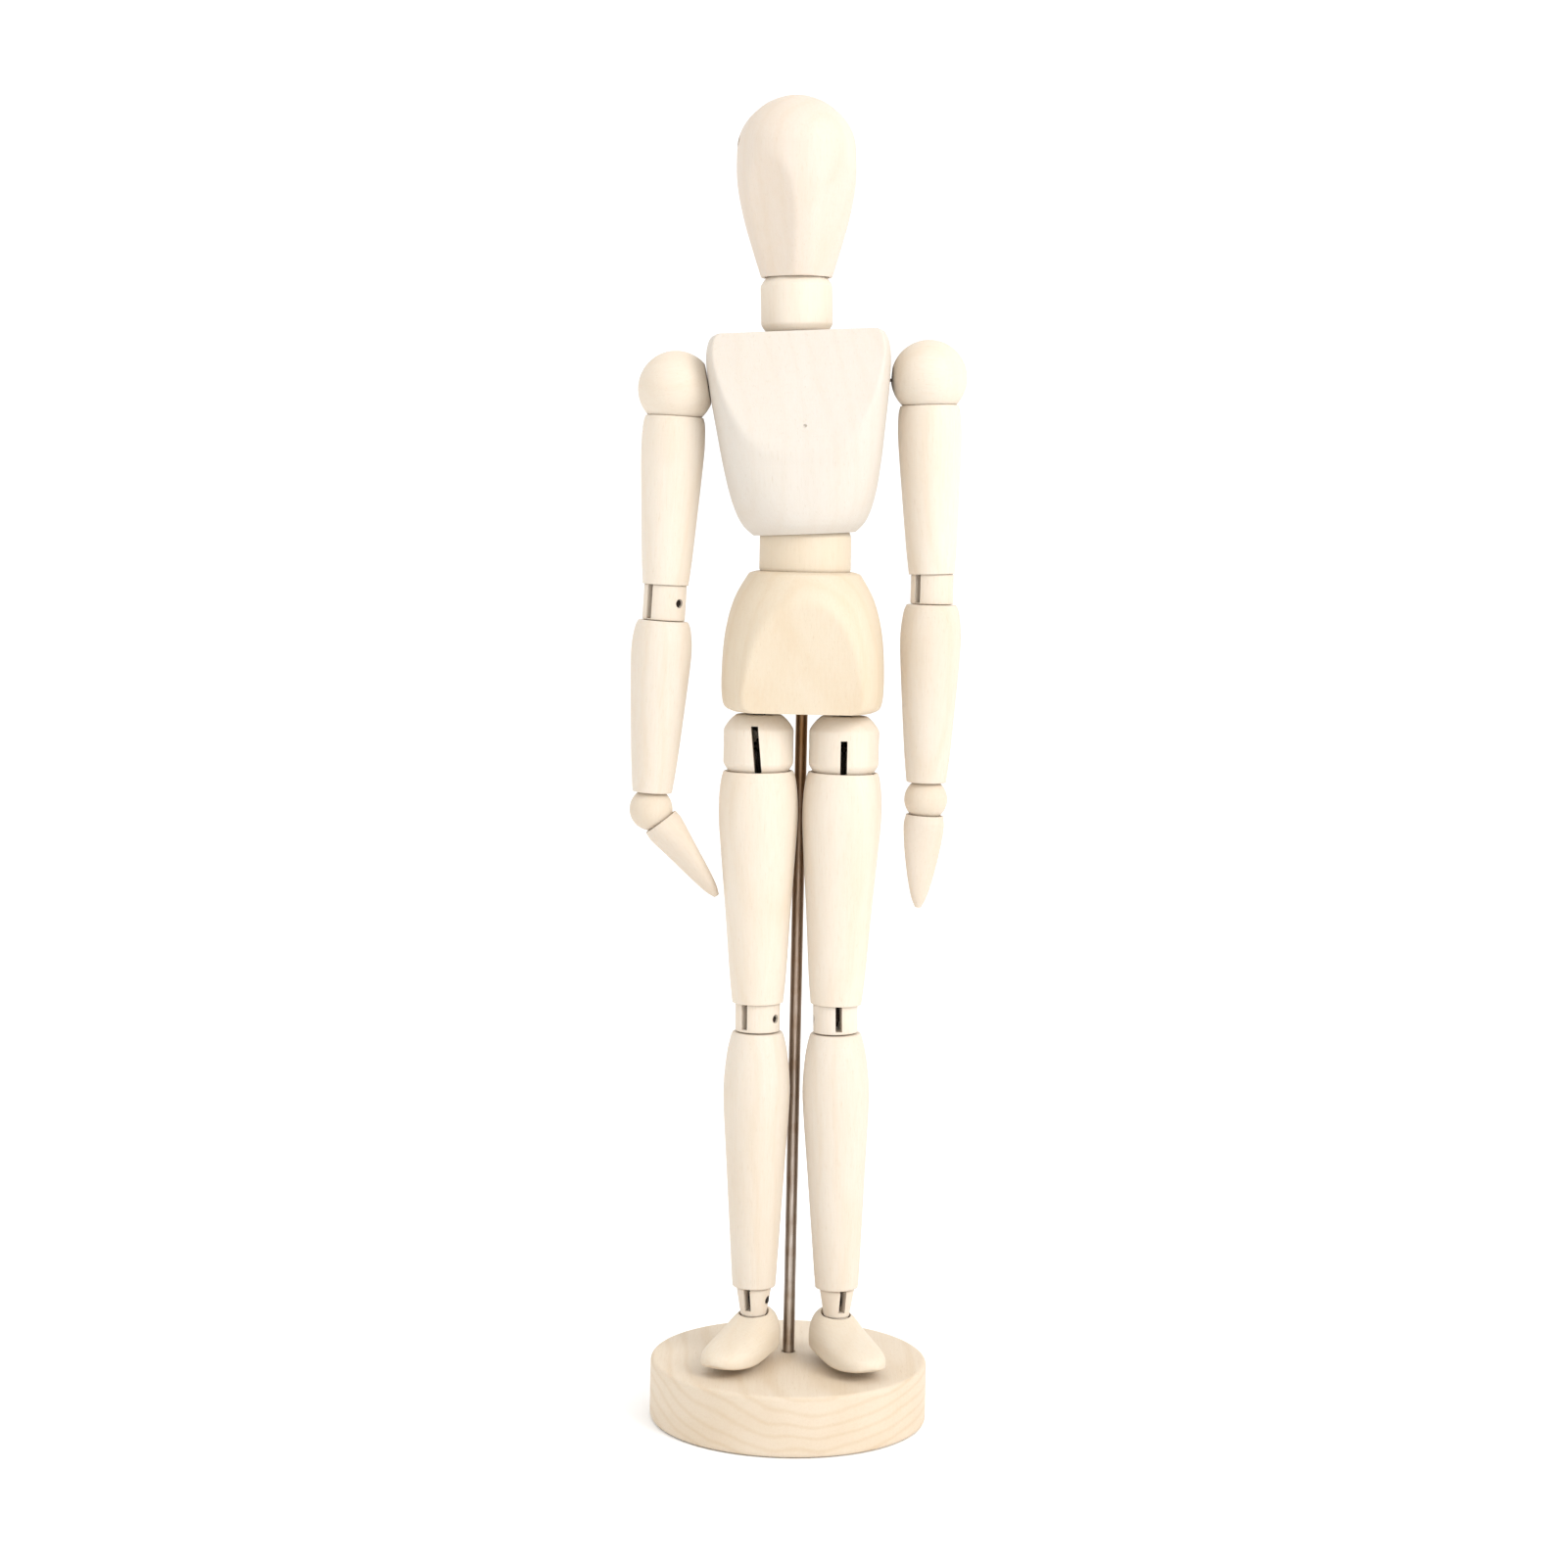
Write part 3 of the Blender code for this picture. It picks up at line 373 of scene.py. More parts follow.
# ----------------------------------------------------------------- materials
def mixed(tree, factor, low, high):
    """A colour between two, led by a 0 to 1 value."""
    mix = tree.nodes.new("ShaderNodeMix")
    mix.data_type = "RGBA"
    tree.links.new(factor, mix.inputs["Factor"])
    for socket, value in ((mix.inputs["A"], low), (mix.inputs["B"], high)):
        if isinstance(value, tuple):
            socket.default_value = (*value, 1)
        else:
            tree.links.new(value, socket)
    return mix.outputs["Result"]


def ramp(tree, value, low, high):
    r = tree.nodes.new("ShaderNodeMapRange")
    r.inputs["From Min"].default_value = low
    r.inputs["From Max"].default_value = high
    tree.links.new(value, r.inputs["Value"])
    return r.outputs["Result"]


def calc(tree, operation, a, b):
    m = tree.nodes.new("ShaderNodeMath")
    m.operation = operation
    for socket, value in ((m.inputs[0], a), (m.inputs[1], b)):
        if isinstance(value, (int, float)):
            socket.default_value = value
        else:
            tree.links.new(value, socket)
    return m.outputs[0]


def noise_at(tree, coords, scale, detail=4.0, rough=0.5, distortion=0.0):
    n = tree.nodes.new("ShaderNodeTexNoise")
    n.inputs["Scale"].default_value = scale
    n.inputs["Detail"].default_value = detail
    n.inputs["Roughness"].default_value = rough
    n.inputs["Distortion"].default_value = distortion
    tree.links.new(coords, n.inputs["Vector"])
    return n.outputs["Fac"]


def mapped(tree, coords, location=(0, 0, 0), rotation=(0, 0, 0), scale=(1, 1, 1)):
    m = tree.nodes.new("ShaderNodeMapping")
    m.inputs["Location"].default_value = location
    m.inputs["Rotation"].default_value = rotation
    m.inputs["Scale"].default_value = scale
    tree.links.new(coords, m.inputs["Vector"])
    return m.outputs["Vector"]


def start(name):
    made = bpy.data.materials.new(name)
    made.use_nodes = True
    tree = made.node_tree
    shader = tree.nodes["Principled BSDF"]
    where = tree.nodes.new("ShaderNodeTexCoord").outputs["Object"]
    return made, tree, shader, where


def wood(name, light, dark, seed, rings=1.0, fleck=1.0, along="Z", contrast=1.0, rough=0.62, log_out=14.0, pitch=3.6, wander=7.0):
    """Sanded basswood: faint growth bands, long fibres, short pores and a hint of the lathe."""
    made, tree, shader, where = start(name)
    turned_to = {"Z": (0, 0, 0), "Y": (math.pi / 2, 0, 0), "X": (0, math.pi / 2, 0)}[along]
    offset = (1.7 * seed, 2.9 * seed, 0.6 * seed)
    # metres to millimetres, then the fibre direction onto Z
    local = mapped(tree, where, rotation=turned_to, scale=(1000, 1000, 1000))
    bend = noise_at(tree, mapped(tree, local, location=offset, scale=(0.10, 0.10, 0.035)), 1.0, 2.0)
    # growth bands are shells of the log, whose heart lies beside the piece
    apart = tree.nodes.new("ShaderNodeSeparateXYZ")
    angle = seed * 2.399
    tree.links.new(mapped(tree, local, location=(log_out * math.cos(angle), log_out * math.sin(angle), 0)), apart.inputs[0])
    span = calc(tree, "SQRT", calc(tree, "ADD", calc(tree, "POWER", apart.outputs["X"], 2.0), calc(tree, "POWER", apart.outputs["Y"], 2.0)), 0.5)
    span = calc(tree, "ADD", span, calc(tree, "MULTIPLY", bend, wander))
    band = calc(tree, "SINE", calc(tree, "MULTIPLY", span, pitch), 0.0)
    band = ramp(tree, band, -0.2, 1.0)
    band = calc(tree, "MULTIPLY", band, band)
    fibre = noise_at(tree, mapped(tree, local, location=offset, scale=(5.5, 5.5, 0.22)), 1.0, 5.0, 0.6)
    cloud = noise_at(tree, mapped(tree, local, location=offset, scale=(0.22, 0.22, 0.07)), 1.0, 3.0)
    pore = noise_at(tree, mapped(tree, local, location=offset, scale=(13.0, 13.0, 1.1)), 1.0, 2.0, 0.5)
    pore = ramp(tree, pore, 0.60, 0.76)
    share = calc(tree, "MULTIPLY", band, 0.42 * rings)
    share = calc(tree, "ADD", share, calc(tree, "MULTIPLY", ramp(tree, fibre, 0.35, 0.75), 0.40))
    share = calc(tree, "ADD", share, calc(tree, "MULTIPLY", ramp(tree, cloud, 0.38, 0.68), 0.45))
    share = calc(tree, "MULTIPLY", share, contrast)
    colour = mixed(tree, share, light, dark)
    deep = tuple(c * f for c, f in zip(dark, (0.80, 0.72, 0.60)))
    colour = mixed(tree, calc(tree, "MULTIPLY", pore, 0.30 * fleck), colour, deep)
    tree.links.new(colour, shader.inputs["Base Color"])
    tree.links.new(calc(tree, "ADD", calc(tree, "MULTIPLY", fibre, 0.16), rough - 0.08), shader.inputs["Roughness"])
    shader.inputs["Specular IOR Level"].default_value = 0.32
    shader.inputs["Subsurface Weight"].default_value = 0.06
    shader.inputs["Subsurface Radius"].default_value = (0.9, 0.5, 0.3)
    shader.inputs["Subsurface Scale"].default_value = 0.0006
    # fibres, pores and the finest turning marks stand a few hundredths of a millimetre
    tool = tree.nodes.new("ShaderNodeTexWave")
    tool.wave_type, tool.bands_direction = "BANDS", along
    tool.inputs["Scale"].default_value = 0.85
    tool.inputs["Distortion"].default_value = 1.5
    tool.inputs["Detail"].default_value = 2.0
    tree.links.new(mapped(tree, where, scale=(1000, 1000, 1000)), tool.inputs["Vector"])
    height = calc(tree, "SUBTRACT", calc(tree, "MULTIPLY", fibre, 0.9), calc(tree, "MULTIPLY", pore, 0.7))
    height = calc(tree, "ADD", height, calc(tree, "MULTIPLY", tool.outputs["Fac"], 0.16))
    bump = tree.nodes.new("ShaderNodeBump")
    bump.inputs["Strength"].default_value = 0.35
    bump.inputs["Distance"].default_value = 0.00003
    tree.links.new(height, bump.inputs["Height"])
    soft = tree.nodes.new("ShaderNodeBevel")
    soft.samples = 4
    soft.inputs["Radius"].default_value = 0.00007
    tree.links.new(soft.outputs["Normal"], bump.inputs["Normal"])
    tree.links.new(bump.outputs["Normal"], shader.inputs["Normal"])
    return made


def painted_shade_material(name, seed):
    """Painted shade: a near-black colour standing in for the shade inside a saw-cut slot or a drilled hole, with an
    unsanded surface.
    """
    made, tree, shader, where = start(name)
    local = mapped(tree, where, location=(seed, 0, 0), scale=(1000, 1000, 1000))
    tooth = noise_at(tree, mapped(tree, local, scale=(2.0, 2.0, 6.0)), 1.0, 4.0, 0.6)
    tree.links.new(mixed(tree, ramp(tree, tooth, 0.3, 0.75), (0.030, 0.017, 0.009), (0.085, 0.050, 0.028)), shader.inputs["Base Color"])
    shader.inputs["Roughness"].default_value = 0.92
    shader.inputs["Specular IOR Level"].default_value = 0.1
    bump = tree.nodes.new("ShaderNodeBump")
    bump.inputs["Strength"].default_value = 0.5
    bump.inputs["Distance"].default_value = 0.00004
    tree.links.new(tooth, bump.inputs["Height"])
    tree.links.new(bump.outputs["Normal"], shader.inputs["Normal"])
    return made


def metal(name, light, dark, rough, seed, along=(1.0, 1.0, 0.03), metallic=1.0, streak=14.0):
    """Drawn steel: fine lines along the wire, a little stain."""
    made, tree, shader, where = start(name)
    local = mapped(tree, where, location=(seed * 0.01, 0, 0), scale=(1000, 1000, 1000))
    line = noise_at(tree, mapped(tree, local, scale=tuple(streak * s for s in along)), 1.0, 4.0, 0.6)
    stain = noise_at(tree, local, 0.55, 4.0, 0.6)
    colour = mixed(tree, ramp(tree, line, 0.3, 0.7), light, dark)
    warm = tuple(c * f for c, f in zip(dark, (0.85, 0.68, 0.52)))
    colour = mixed(tree, calc(tree, "MULTIPLY", ramp(tree, stain, 0.48, 0.72), 0.5), colour, warm)
    tree.links.new(colour, shader.inputs["Base Color"])
    shader.inputs["Metallic"].default_value = metallic
    tree.links.new(calc(tree, "ADD", calc(tree, "MULTIPLY", line, 0.25), rough), shader.inputs["Roughness"])
    bump = tree.nodes.new("ShaderNodeBump")
    bump.inputs["Strength"].default_value = 0.25
    bump.inputs["Distance"].default_value = 0.00002
    tree.links.new(line, bump.inputs["Height"])
    tree.links.new(bump.outputs["Normal"], shader.inputs["Normal"])
    return made


# Light and dark tones of each group of pieces, as linear colour.
TONES = {
    "pale": ((0.634, 0.557, 0.479), (0.599, 0.496, 0.389)),
    "chest": ((0.606, 0.562, 0.505), (0.576, 0.507, 0.428)),
    "limb": ((0.672, 0.602, 0.512), (0.636, 0.537, 0.424)),
    "warm": ((0.622, 0.540, 0.423), (0.592, 0.480, 0.345)),
    "knuckle": ((0.660, 0.590, 0.506), (0.618, 0.515, 0.396)),
    "lower": ((0.640, 0.574, 0.492), (0.606, 0.512, 0.402)),
    "hand": ((0.622, 0.546, 0.460), (0.588, 0.493, 0.384)),
    "wrist": ((0.605, 0.522, 0.420), (0.572, 0.466, 0.344)),
    "foot": ((0.632, 0.556, 0.450), (0.598, 0.494, 0.370)),
    "base": ((0.618, 0.528, 0.418), (0.556, 0.442, 0.314)),
}
# painted shade for the faces that cutters leave inside slots and holes
PAINTED_SHADE = painted_shade_material("painted_slot_shade", 1)
ROD_STEEL = metal("drawn_steel_rod", (0.74, 0.69, 0.64), (0.34, 0.28, 0.235), 0.26, 3)


def tarnish_and_painted_reflection_lines(made, low, high, brown):
    """Lets a brown stain grow up the rod between two heights in millimetres."""
    tree = made.node_tree
    shader = tree.nodes["Principled BSDF"]
    clean = shader.inputs["Base Color"].links[0].from_socket
    where = tree.nodes.new("ShaderNodeTexCoord").outputs["Object"]
    parts = tree.nodes.new("ShaderNodeSeparateXYZ")
    tree.links.new(mapped(tree, where, scale=(1000, 1000, 1000)), parts.inputs[0])
    patch = noise_at(tree, mapped(tree, where, scale=(1500, 1500, 160)), 1.0, 3.0)
    share = ramp(tree, parts.outputs["Z"], low, high)
    share = calc(tree, "MULTIPLY", share, calc(tree, "ADD", calc(tree, "MULTIPLY", patch, 0.6), 0.55))
    stained = mixed(tree, share, clean, brown)
    # four lines of painted dark reflection run the length of the rod, darkest at 45 degrees round its axis
    axle = calc(tree, "SUBTRACT", parts.outputs["Y"], ROD_Y)
    radius = calc(tree, "ADD", calc(tree, "POWER", parts.outputs["X"], 2.0), calc(tree, "POWER", axle, 2.0))
    line = calc(tree, "DIVIDE", calc(tree, "ABSOLUTE", calc(tree, "MULTIPLY", parts.outputs["X"], axle), 0.0), radius)
    line = ramp(tree, line, 0.22, 0.50)
    deep = mixed(tree, calc(tree, "MULTIPLY", line, 0.75), stained, tuple(0.32 * c for c in brown))
    tree.links.new(deep, shader.inputs["Base Color"])


# the rod's brown tarnish grows upward, and four lines of painted dark reflection run along its sides
tarnish_and_painted_reflection_lines(ROD_STEEL, 12.0, 60.0, (0.24, 0.115, 0.032))
# Near-black: partly the dark oxidised steel itself, partly painted shade, so tongues, hooks and pins inside slots and
# holes read as shadowed.
INNER_STEEL = metal("dull_steel", (0.045, 0.036, 0.028), (0.014, 0.010, 0.008), 0.50, 5, (1, 1, 1), 0.8, 5.0)
WIRE_STEEL = metal("spring_wire", (0.30, 0.28, 0.26), (0.14, 0.13, 0.12), 0.35, 7, (1, 1, 1), 1.0, 6.0)
_seed = [0]


def place(name, mesh, where, finish_of, smooth=35.0):
    """Puts a millimetre mesh in the scene as the piece that is seen in place of the solid of that name."""
    mesh.transform(Matrix.Scale(MM, 4))
    matrix = FRAMES[where]
    obj = bpy.data.objects.new("look_" + name, mesh)
    bpy.context.scene.collection.objects.link(obj)
    obj.matrix_world = Matrix.Translation(matrix.translation * MM) @ matrix.to_3x3().to_4x4()
    mesh.materials.clear()
    # the second slot holds the painted shade for faces left by cutters
    mesh.materials.append(finish_of)
    mesh.materials.append(PAINTED_SHADE)
    mesh.shade_smooth()
    mesh.set_sharp_from_angle(angle=math.radians(smooth))
    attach(obj, BODY_OF[name])
    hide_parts(name)
    return obj


def timber(name, mesh, where, tone, **more):
    _seed[0] += 1
    light, dark = TONES[tone]
    # no two billets are quite the same colour
    k = ((_seed[0] * 0.618) % 1.0 - 0.5) * 0.035
    light = tuple(c * (1 + k * f) for c, f in zip(light, (0.6, 1.0, 1.7)))
    dark = tuple(c * (1 + k * f) for c, f in zip(dark, (0.6, 1.0, 1.7)))
    return place(name, mesh, where, wood("wood_" + name, light, dark, _seed[0], **more))


# --------------------------------------------------------------- base and rod
base = polar(fillet([(0.0, BASE_H), (BASE_R, BASE_H), (BASE_R, 0.0), (0.0, 0.0)], 0.42, steps=6), 160)
base = cut(base, bar(ROD_R + 0.08, (0, ROD_Y, ROD_SEAT - 0.3), (0, ROD_Y, BASE_H + 1), 40))
_seed[0] += 1
place("base", base, "world", wood("wood_base", *TONES["base"], 3.3, rings=1.5, fleck=1.2, along="Y", contrast=0.75, rough=0.60, log_out=26.0, pitch=6.0, wander=4.5))
place("support_rod", bar(ROD_R, (0, ROD_Y, ROD_SEAT), (0, ROD_Y, ROD_TOP), 40, 0.12), "world", ROD_STEEL)

# -------------------------------------------------------------------- pelvis
PELVIS_KNOTS = [(6.02, 61.90), (6.75, 62.45), (6.95, 64.6), (6.72, 68.4), (5.98, 71.4), (4.75, 73.65)]


def pelvis_mesh():
    seat = WAIST_BALL + SEAT_GAP
    rim = WAIST_Z - WAIST_RIM
    inner = arc(seat, WAIST_Z, seat_angle(seat, WAIST_RIM), math.degrees(math.asin(1.6 / seat)), 14)
    outer = smooth_profile(PELVIS_KNOTS, 9) + [(4.25, rim - 0.05)]
    floor = [(0.0, 61.90), (1.5, 61.9), (3.0, 61.9), (4.5, 61.9)]
    bore = [(1.6, 67.2), (0.0, 66.9)]
    line = fillet(floor + outer + inner + bore, 0.16, 30)

    def shape(k, r, z, a):
        x, y = r * math.cos(a), r * math.sin(a)
        limit = 4.35 + (5.98 - 4.35) * (z - 61.9) / (71.4 - 61.9)
        if r > 3.9 or z < 63:
            y = math.copysign(soft_min(abs(y), limit, 0.22), y)
        return (x, y, z)

    mesh = polar(line, 168, shape)
    cutters = [bar(ROD_R + 0.09, (0, ROD_Y - FIGURE_Y, 60), (0, ROD_Y - FIGURE_Y, ROD_TOP + 0.4), 32),
               bar(PIN_HOLE, (-8, 0, 69.2), (8, 0, 69.2), 28)]
    for sign in (-1, 1):
        cutters.append(bar(0.62, (sign * HIP_OUT, 0, 60), (sign * HIP_OUT, 0, 64.6), 28))
    return cut(mesh, *cutters)


timber("pelvis", pelvis_mesh(), "figure", "warm", rings=0.8)
place("torso_pin_lower", bar(PIN_R, (-5.9, 0, 69.2), (5.9, 0, 69.2), 24, 0.08), "figure", INNER_STEEL)


def barrel(radius, ball_r, bore):
    flat = math.sqrt(ball_r * ball_r - radius * radius)
    lower = arc(ball_r, 0, math.degrees(math.asin(bore / ball_r)), math.degrees(math.acos(flat / ball_r)), 14)
    upper = [(r, -z) for r, z in reversed(lower)]
    middle = [(radius, -flat + 2 * flat * k / 8) for k in range(1, 8)]
    line = [(bore, 0.0)] + lower + middle + upper + [(bore, 0.0)]
    return polar(fillet(line, 0.13, 20)[:-1], FULL)


timber("waist_barrel", barrel(WAIST_R, WAIST_BALL, 1.5), "waist", "warm", rings=0.6, contrast=0.7)
place("torso_spring", swept(spring_points(69.2 - WAIST_Z, 10.9, -4.6, 9.2, 0.95, 7, "X", "Y"), WIRE), "chest", WIRE_STEEL)

# --------------------------------------------------------------------- chest
SHOULDER_MID = (SHOULDER_UP["left"] + SHOULDER_UP["right"]) / 2
CHEST_KNOTS = [(4.35, 1.62), (5.15, 2.40), (5.75, 3.55), (6.30, 5.4), (6.78, 8.0), (7.12, 10.3),
               (7.58, 13.6), (7.80, 16.0), (7.72, 17.4), (7.40, 18.25), (6.95, 18.55)]


def chest_mesh():
    side_line = smooth_profile(CHEST_KNOTS, 8)
    line = [(0.0, 1.62), (1.5, 1.62), (3.0, 1.62)] + side_line + [(5.0, 18.56), (3.0, 18.56), (1.2, 18.56), (0.0, 18.56)]

    def shape(k, r, z, a):
        share = min(1.0, max(0.0, (z - 1.5) / 6.0))
        power, depth = 2.0 + share, 1.0 - 0.15 * share
        c, s = math.cos(a), math.sin(a)
        x = r * math.copysign(abs(c) ** (2 / power), c)
        y = r * depth * math.copysign(abs(s) ** (2 / power), s)
        limit = 5.85 + (3.45 - 5.85) * (z - 8.0) / (18.55 - 8.0)
        y = math.copysign(soft_min(abs(y), limit, 0.22), y)
        return (x, y, z)

    mesh = polar(line, 192, shape)
    return cut(
        mesh,
        (ball(WAIST_BALL + SEAT_GAP), 0),
        (ball(NECK_BALL + SEAT_GAP, (0, 0, NECK_UP)), 0),
        bar(1.45, (0, 0, 2), (0, 0, 11.9), 32),
        bar(1.35, (0, 0, 15.2), (0, 0, 19.5), 32),
        bar(1.30, (-9, 0, SHOULDER_MID), (9, 0, SHOULDER_MID), 40),
        bar(PIN_HOLE, (0, -3.6, 10.9), (0, 8, 10.9), 28),
        ball(0.15, (0.32, -5.25, 10.6), 16, 10),
        bar(PIN_HOLE, (-9, 0, 16.75), (9, 0, 16.75), 28),
    )


timber("chest", chest_mesh(), "chest", "chest", rings=0.55, contrast=0.75)
place("torso_pin_upper", bar(PIN_R, (0, -3.45, 10.9), (0, 5.0, 10.9), 24, 0.08), "chest", INNER_STEEL)
place("neck_pin_lower", bar(PIN_R, (-6.9, 0, 16.75), (6.9, 0, 16.75), 24, 0.08), "chest", INNER_STEEL)


def shoulder_spring_points():
    points, coil = [], 5.6
    reach = {side: SHOULDER_OUT[side] - 1.15 for side in SHOULDER_OUT}
    radius, turns, per_turn = 0.80, 7, 20
    points.append(Vector((-reach["right"], 0, SHOULDER_UP["right"] - SHOULDER_MID)))
    points.append(Vector((-coil - 1.0, 0, 0)))
    total = turns * per_turn
    for i in range(total + 1):
        a = 2 * math.pi * i / per_turn
        points.append(Vector((-coil + 2 * coil * i / total, radius * math.cos(a), radius * math.sin(a))))
    points.append(Vector((coil + 1.0, 0, 0)))
    points.append(Vector((reach["left"], 0, SHOULDER_UP["left"] - SHOULDER_MID)))
    return points


spring = swept(shoulder_spring_points(), WIRE)
spring.transform(shift(0, 0, SHOULDER_MID))
place("shoulder_spring", spring, "chest", WIRE_STEEL)

# ------------------------------------------------------------- neck and head
timber("neck_barrel", barrel(NECK_R, NECK_BALL, 1.35), "neck", "limb", rings=0.5, contrast=0.7)
place("neck_spring", swept(spring_points(16.75 - NECK_UP, 13.6, -2.3, 11.8, 0.8, 6, "X", "X"), WIRE), "neck", WIRE_STEEL)

HEAD_KNOTS = [(3.0, 2.30), (3.72, 4.60), (4.47, 7.25), (4.98, 10.0), (5.03, 12.2), (4.86, 13.9),
              (4.10, 15.38), (2.62, 16.70), (1.1, 17.33), (0.0, HEAD_TOP)]
FACE_NORMAL, FACE_LOW, FACE_HIGH = 39.4, (2.78, 2.3), (5.02, 12.1)


def head_mesh():
    seat = NECK_BALL + SEAT_GAP
    outer = smooth_profile(HEAD_KNOTS, 9)
    outer[-1] = (0.0, HEAD_TOP)
    inner = [(0.0, 14.9), (1.25, 14.5)] + arc(seat, 0, 180 - math.degrees(math.asin(1.25 / seat)), 180 - seat_angle(seat, NECK_RIM), 12)
    line = fillet(inner + outer, 0.14, 30)

    def shape(k, r, z, a):
        if z > 2.0 and (r > 2.9 or z > 14.95) or (r > 2.6 and z < 2.6):
            for sign in (-1, 1):
                az = math.radians(-90 + sign * FACE_NORMAL)
                facing = math.cos(a - az)
                if facing > 0.25:
                    flat = FACE_LOW[0] + (FACE_HIGH[0] - FACE_LOW[0]) * (z - FACE_LOW[1]) / (FACE_HIGH[1] - FACE_LOW[1])
                    r = soft_min(r, flat / facing, 0.16)
        return (r * math.cos(a), r * math.sin(a), z)

    mesh = polar(line, 192, shape)
    return cut(mesh, bar(PIN_HOLE, (-7, 0, 13.6), (7, 0, 13.6), 28))


timber("head", head_mesh(), "head", "pale", rings=0.6, contrast=0.8)
place("neck_pin_upper", bar(PIN_R, (-4.3, 0, 13.6), (4.3, 0, 13.6), 24, 0.08), "head", INNER_STEEL)


# ---------------------------------------------------------------------- arms
def shoulder_ball(sign, flat_at):
    radius = SHOULDER_BALL + 0.08
    flat_at += 0.18 if sign > 0 else 0.0
    last = math.degrees(math.acos(-flat_at / radius))
    line = arc(radius, 0, 0, last, 44) + [(0.55, flat_at), (0.55, 0.4), (0.0, 0.4)]
    mesh = polar(fillet(line, 0.14, 24), FULL)
    mesh.transform(turn("Y", -90 * sign))
    slot = block((min(sign * -0.80, sign * 4), -SLOT / 2, -4), (max(sign * -0.80, sign * 4), SLOT / 2, 0.78))
    return cut(mesh, slot, bar(PIN_HOLE, (0, -1.7, 0), (0, 4, 0), 28))


ELBOW_FOOT = {"left": 1.02, "right": 1.50}    # ball centre to the knuckle's shoulder on the forearm
UPPER_ARM_KNOTS = [(1.95, -16.53), (2.16, -14.2), (2.46, -9.5), (2.68, -5.6), (2.69, -4.0), (2.62, -2.9), (2.46, -2.30)]
FOREARM_KNOTS = [(1.70, -16.28), (1.98, -13.6), (2.32, -9.0), (2.56, -5.2), (2.57, -3.6), (2.38, -2.2), (2.12, -1.56)]


def limb(knots, top_seat, low, low_seat, low_rim, bore_r, bore_end, slit=0.0):
    """A turned limb: a seat or a bored flat on top, a cup below, and the slit that its tongue sits in."""
    outer = smooth_profile(knots, 10)
    if top_seat:
        top = arc(top_seat[0], 0, seat_angle(top_seat[0], top_seat[1]), math.degrees(math.asin(bore_r / top_seat[0])), 12)
    else:
        top = [(bore_r, knots[-1][1])]
    cup = [(0.0, -low + low_seat)] + [(r, -low - z) for r, z in arc(low_seat, 0, 6, seat_angle(low_seat, low_rim), 12)]
    line = cup + outer + top + [(bore_r, bore_end), (0.0, bore_end - 0.2)]
    mesh = polar(fillet(line, 0.11, 28), FULL)
    return cut(mesh, slit) if slit else mesh


def knuckle(radius, ball_r, foot_down, dowel_r, dowel_down, open_side, taper=None, slot_down=0.92):
    flat = math.sqrt(ball_r * ball_r - radius * radius)
    last = math.degrees(math.acos(flat / ball_r))
    top = [(r, -z) for r, z in arc(ball_r, 0, 0, last, 16)]
    lower = [(taper or radius, -foot_down)]
    if taper is None and foot_down > flat:
        edge = math.sqrt(max(ball_r * ball_r - foot_down * foot_down, 0.25))
        lower = [(radius, -flat), (min(edge, radius), -foot_down)]
    line = top + lower + [(dowel_r, -foot_down), (dowel_r, -dowel_down), (0.0, -dowel_down)]
    mesh = polar(fillet(line, 0.10, 20), FULL)
    return cut(mesh, block((-SLOT / 2, -4, -slot_down), (SLOT / 2, 4, 4)),
               bar(PIN_HOLE - 0.03, (-open_side * (radius - 0.45), 0, 0), (open_side * 4, 0, 0), 28))


HAND_SECTIONS = [(1.60, 1.58, -1.36), (1.72, 1.60, -1.95), (1.74, 1.50, -2.5), (1.62, 1.22, -3.8), (1.38, 0.95, -5.4),
                 (1.02, 0.72, -7.2), (0.66, 0.52, -8.5), (0.32, 0.28, -9.25)]


def between(stations, steps):
    """Catmull-Rom rows between rows of equal length."""
    pts = [stations[0]] + list(stations) + [stations[-1]]
    out = []
    for k in range(1, len(pts) - 2):
        p0, p1, p2, p3 = pts[k - 1:k + 3]
        for s in range(steps):
            t = s / steps
            out.append(tuple(0.5 * (2 * b + (c - a) * t + (2 * a - 5 * b + 4 * c - d) * t * t + (3 * b - a - 3 * c + d) * t ** 3)
                             for a, b, c, d in zip(p0, p1, p2, p3)))
    out.append(stations[-1])
    return out


def hand():
    rows = between(HAND_SECTIONS, 7)
    a, b, z = rows[-1]
    rows += [(a * 0.93, b * 0.93, z - 0.07), (a * 0.75, b * 0.75, z - 0.12), (a * 0.4, b * 0.4, z - 0.145), (0.012, 0.012, z - 0.15)]
    rings = [[(p * math.cos(2 * math.pi * i / 72), q * math.sin(2 * math.pi * i / 72), z) for i in range(72)] for p, q, z in reversed(rows)]
    return cut(lofted(rings), (ball(WRIST_BALL + SEAT_GAP, (0, 0, 0), 72, 40), 0))


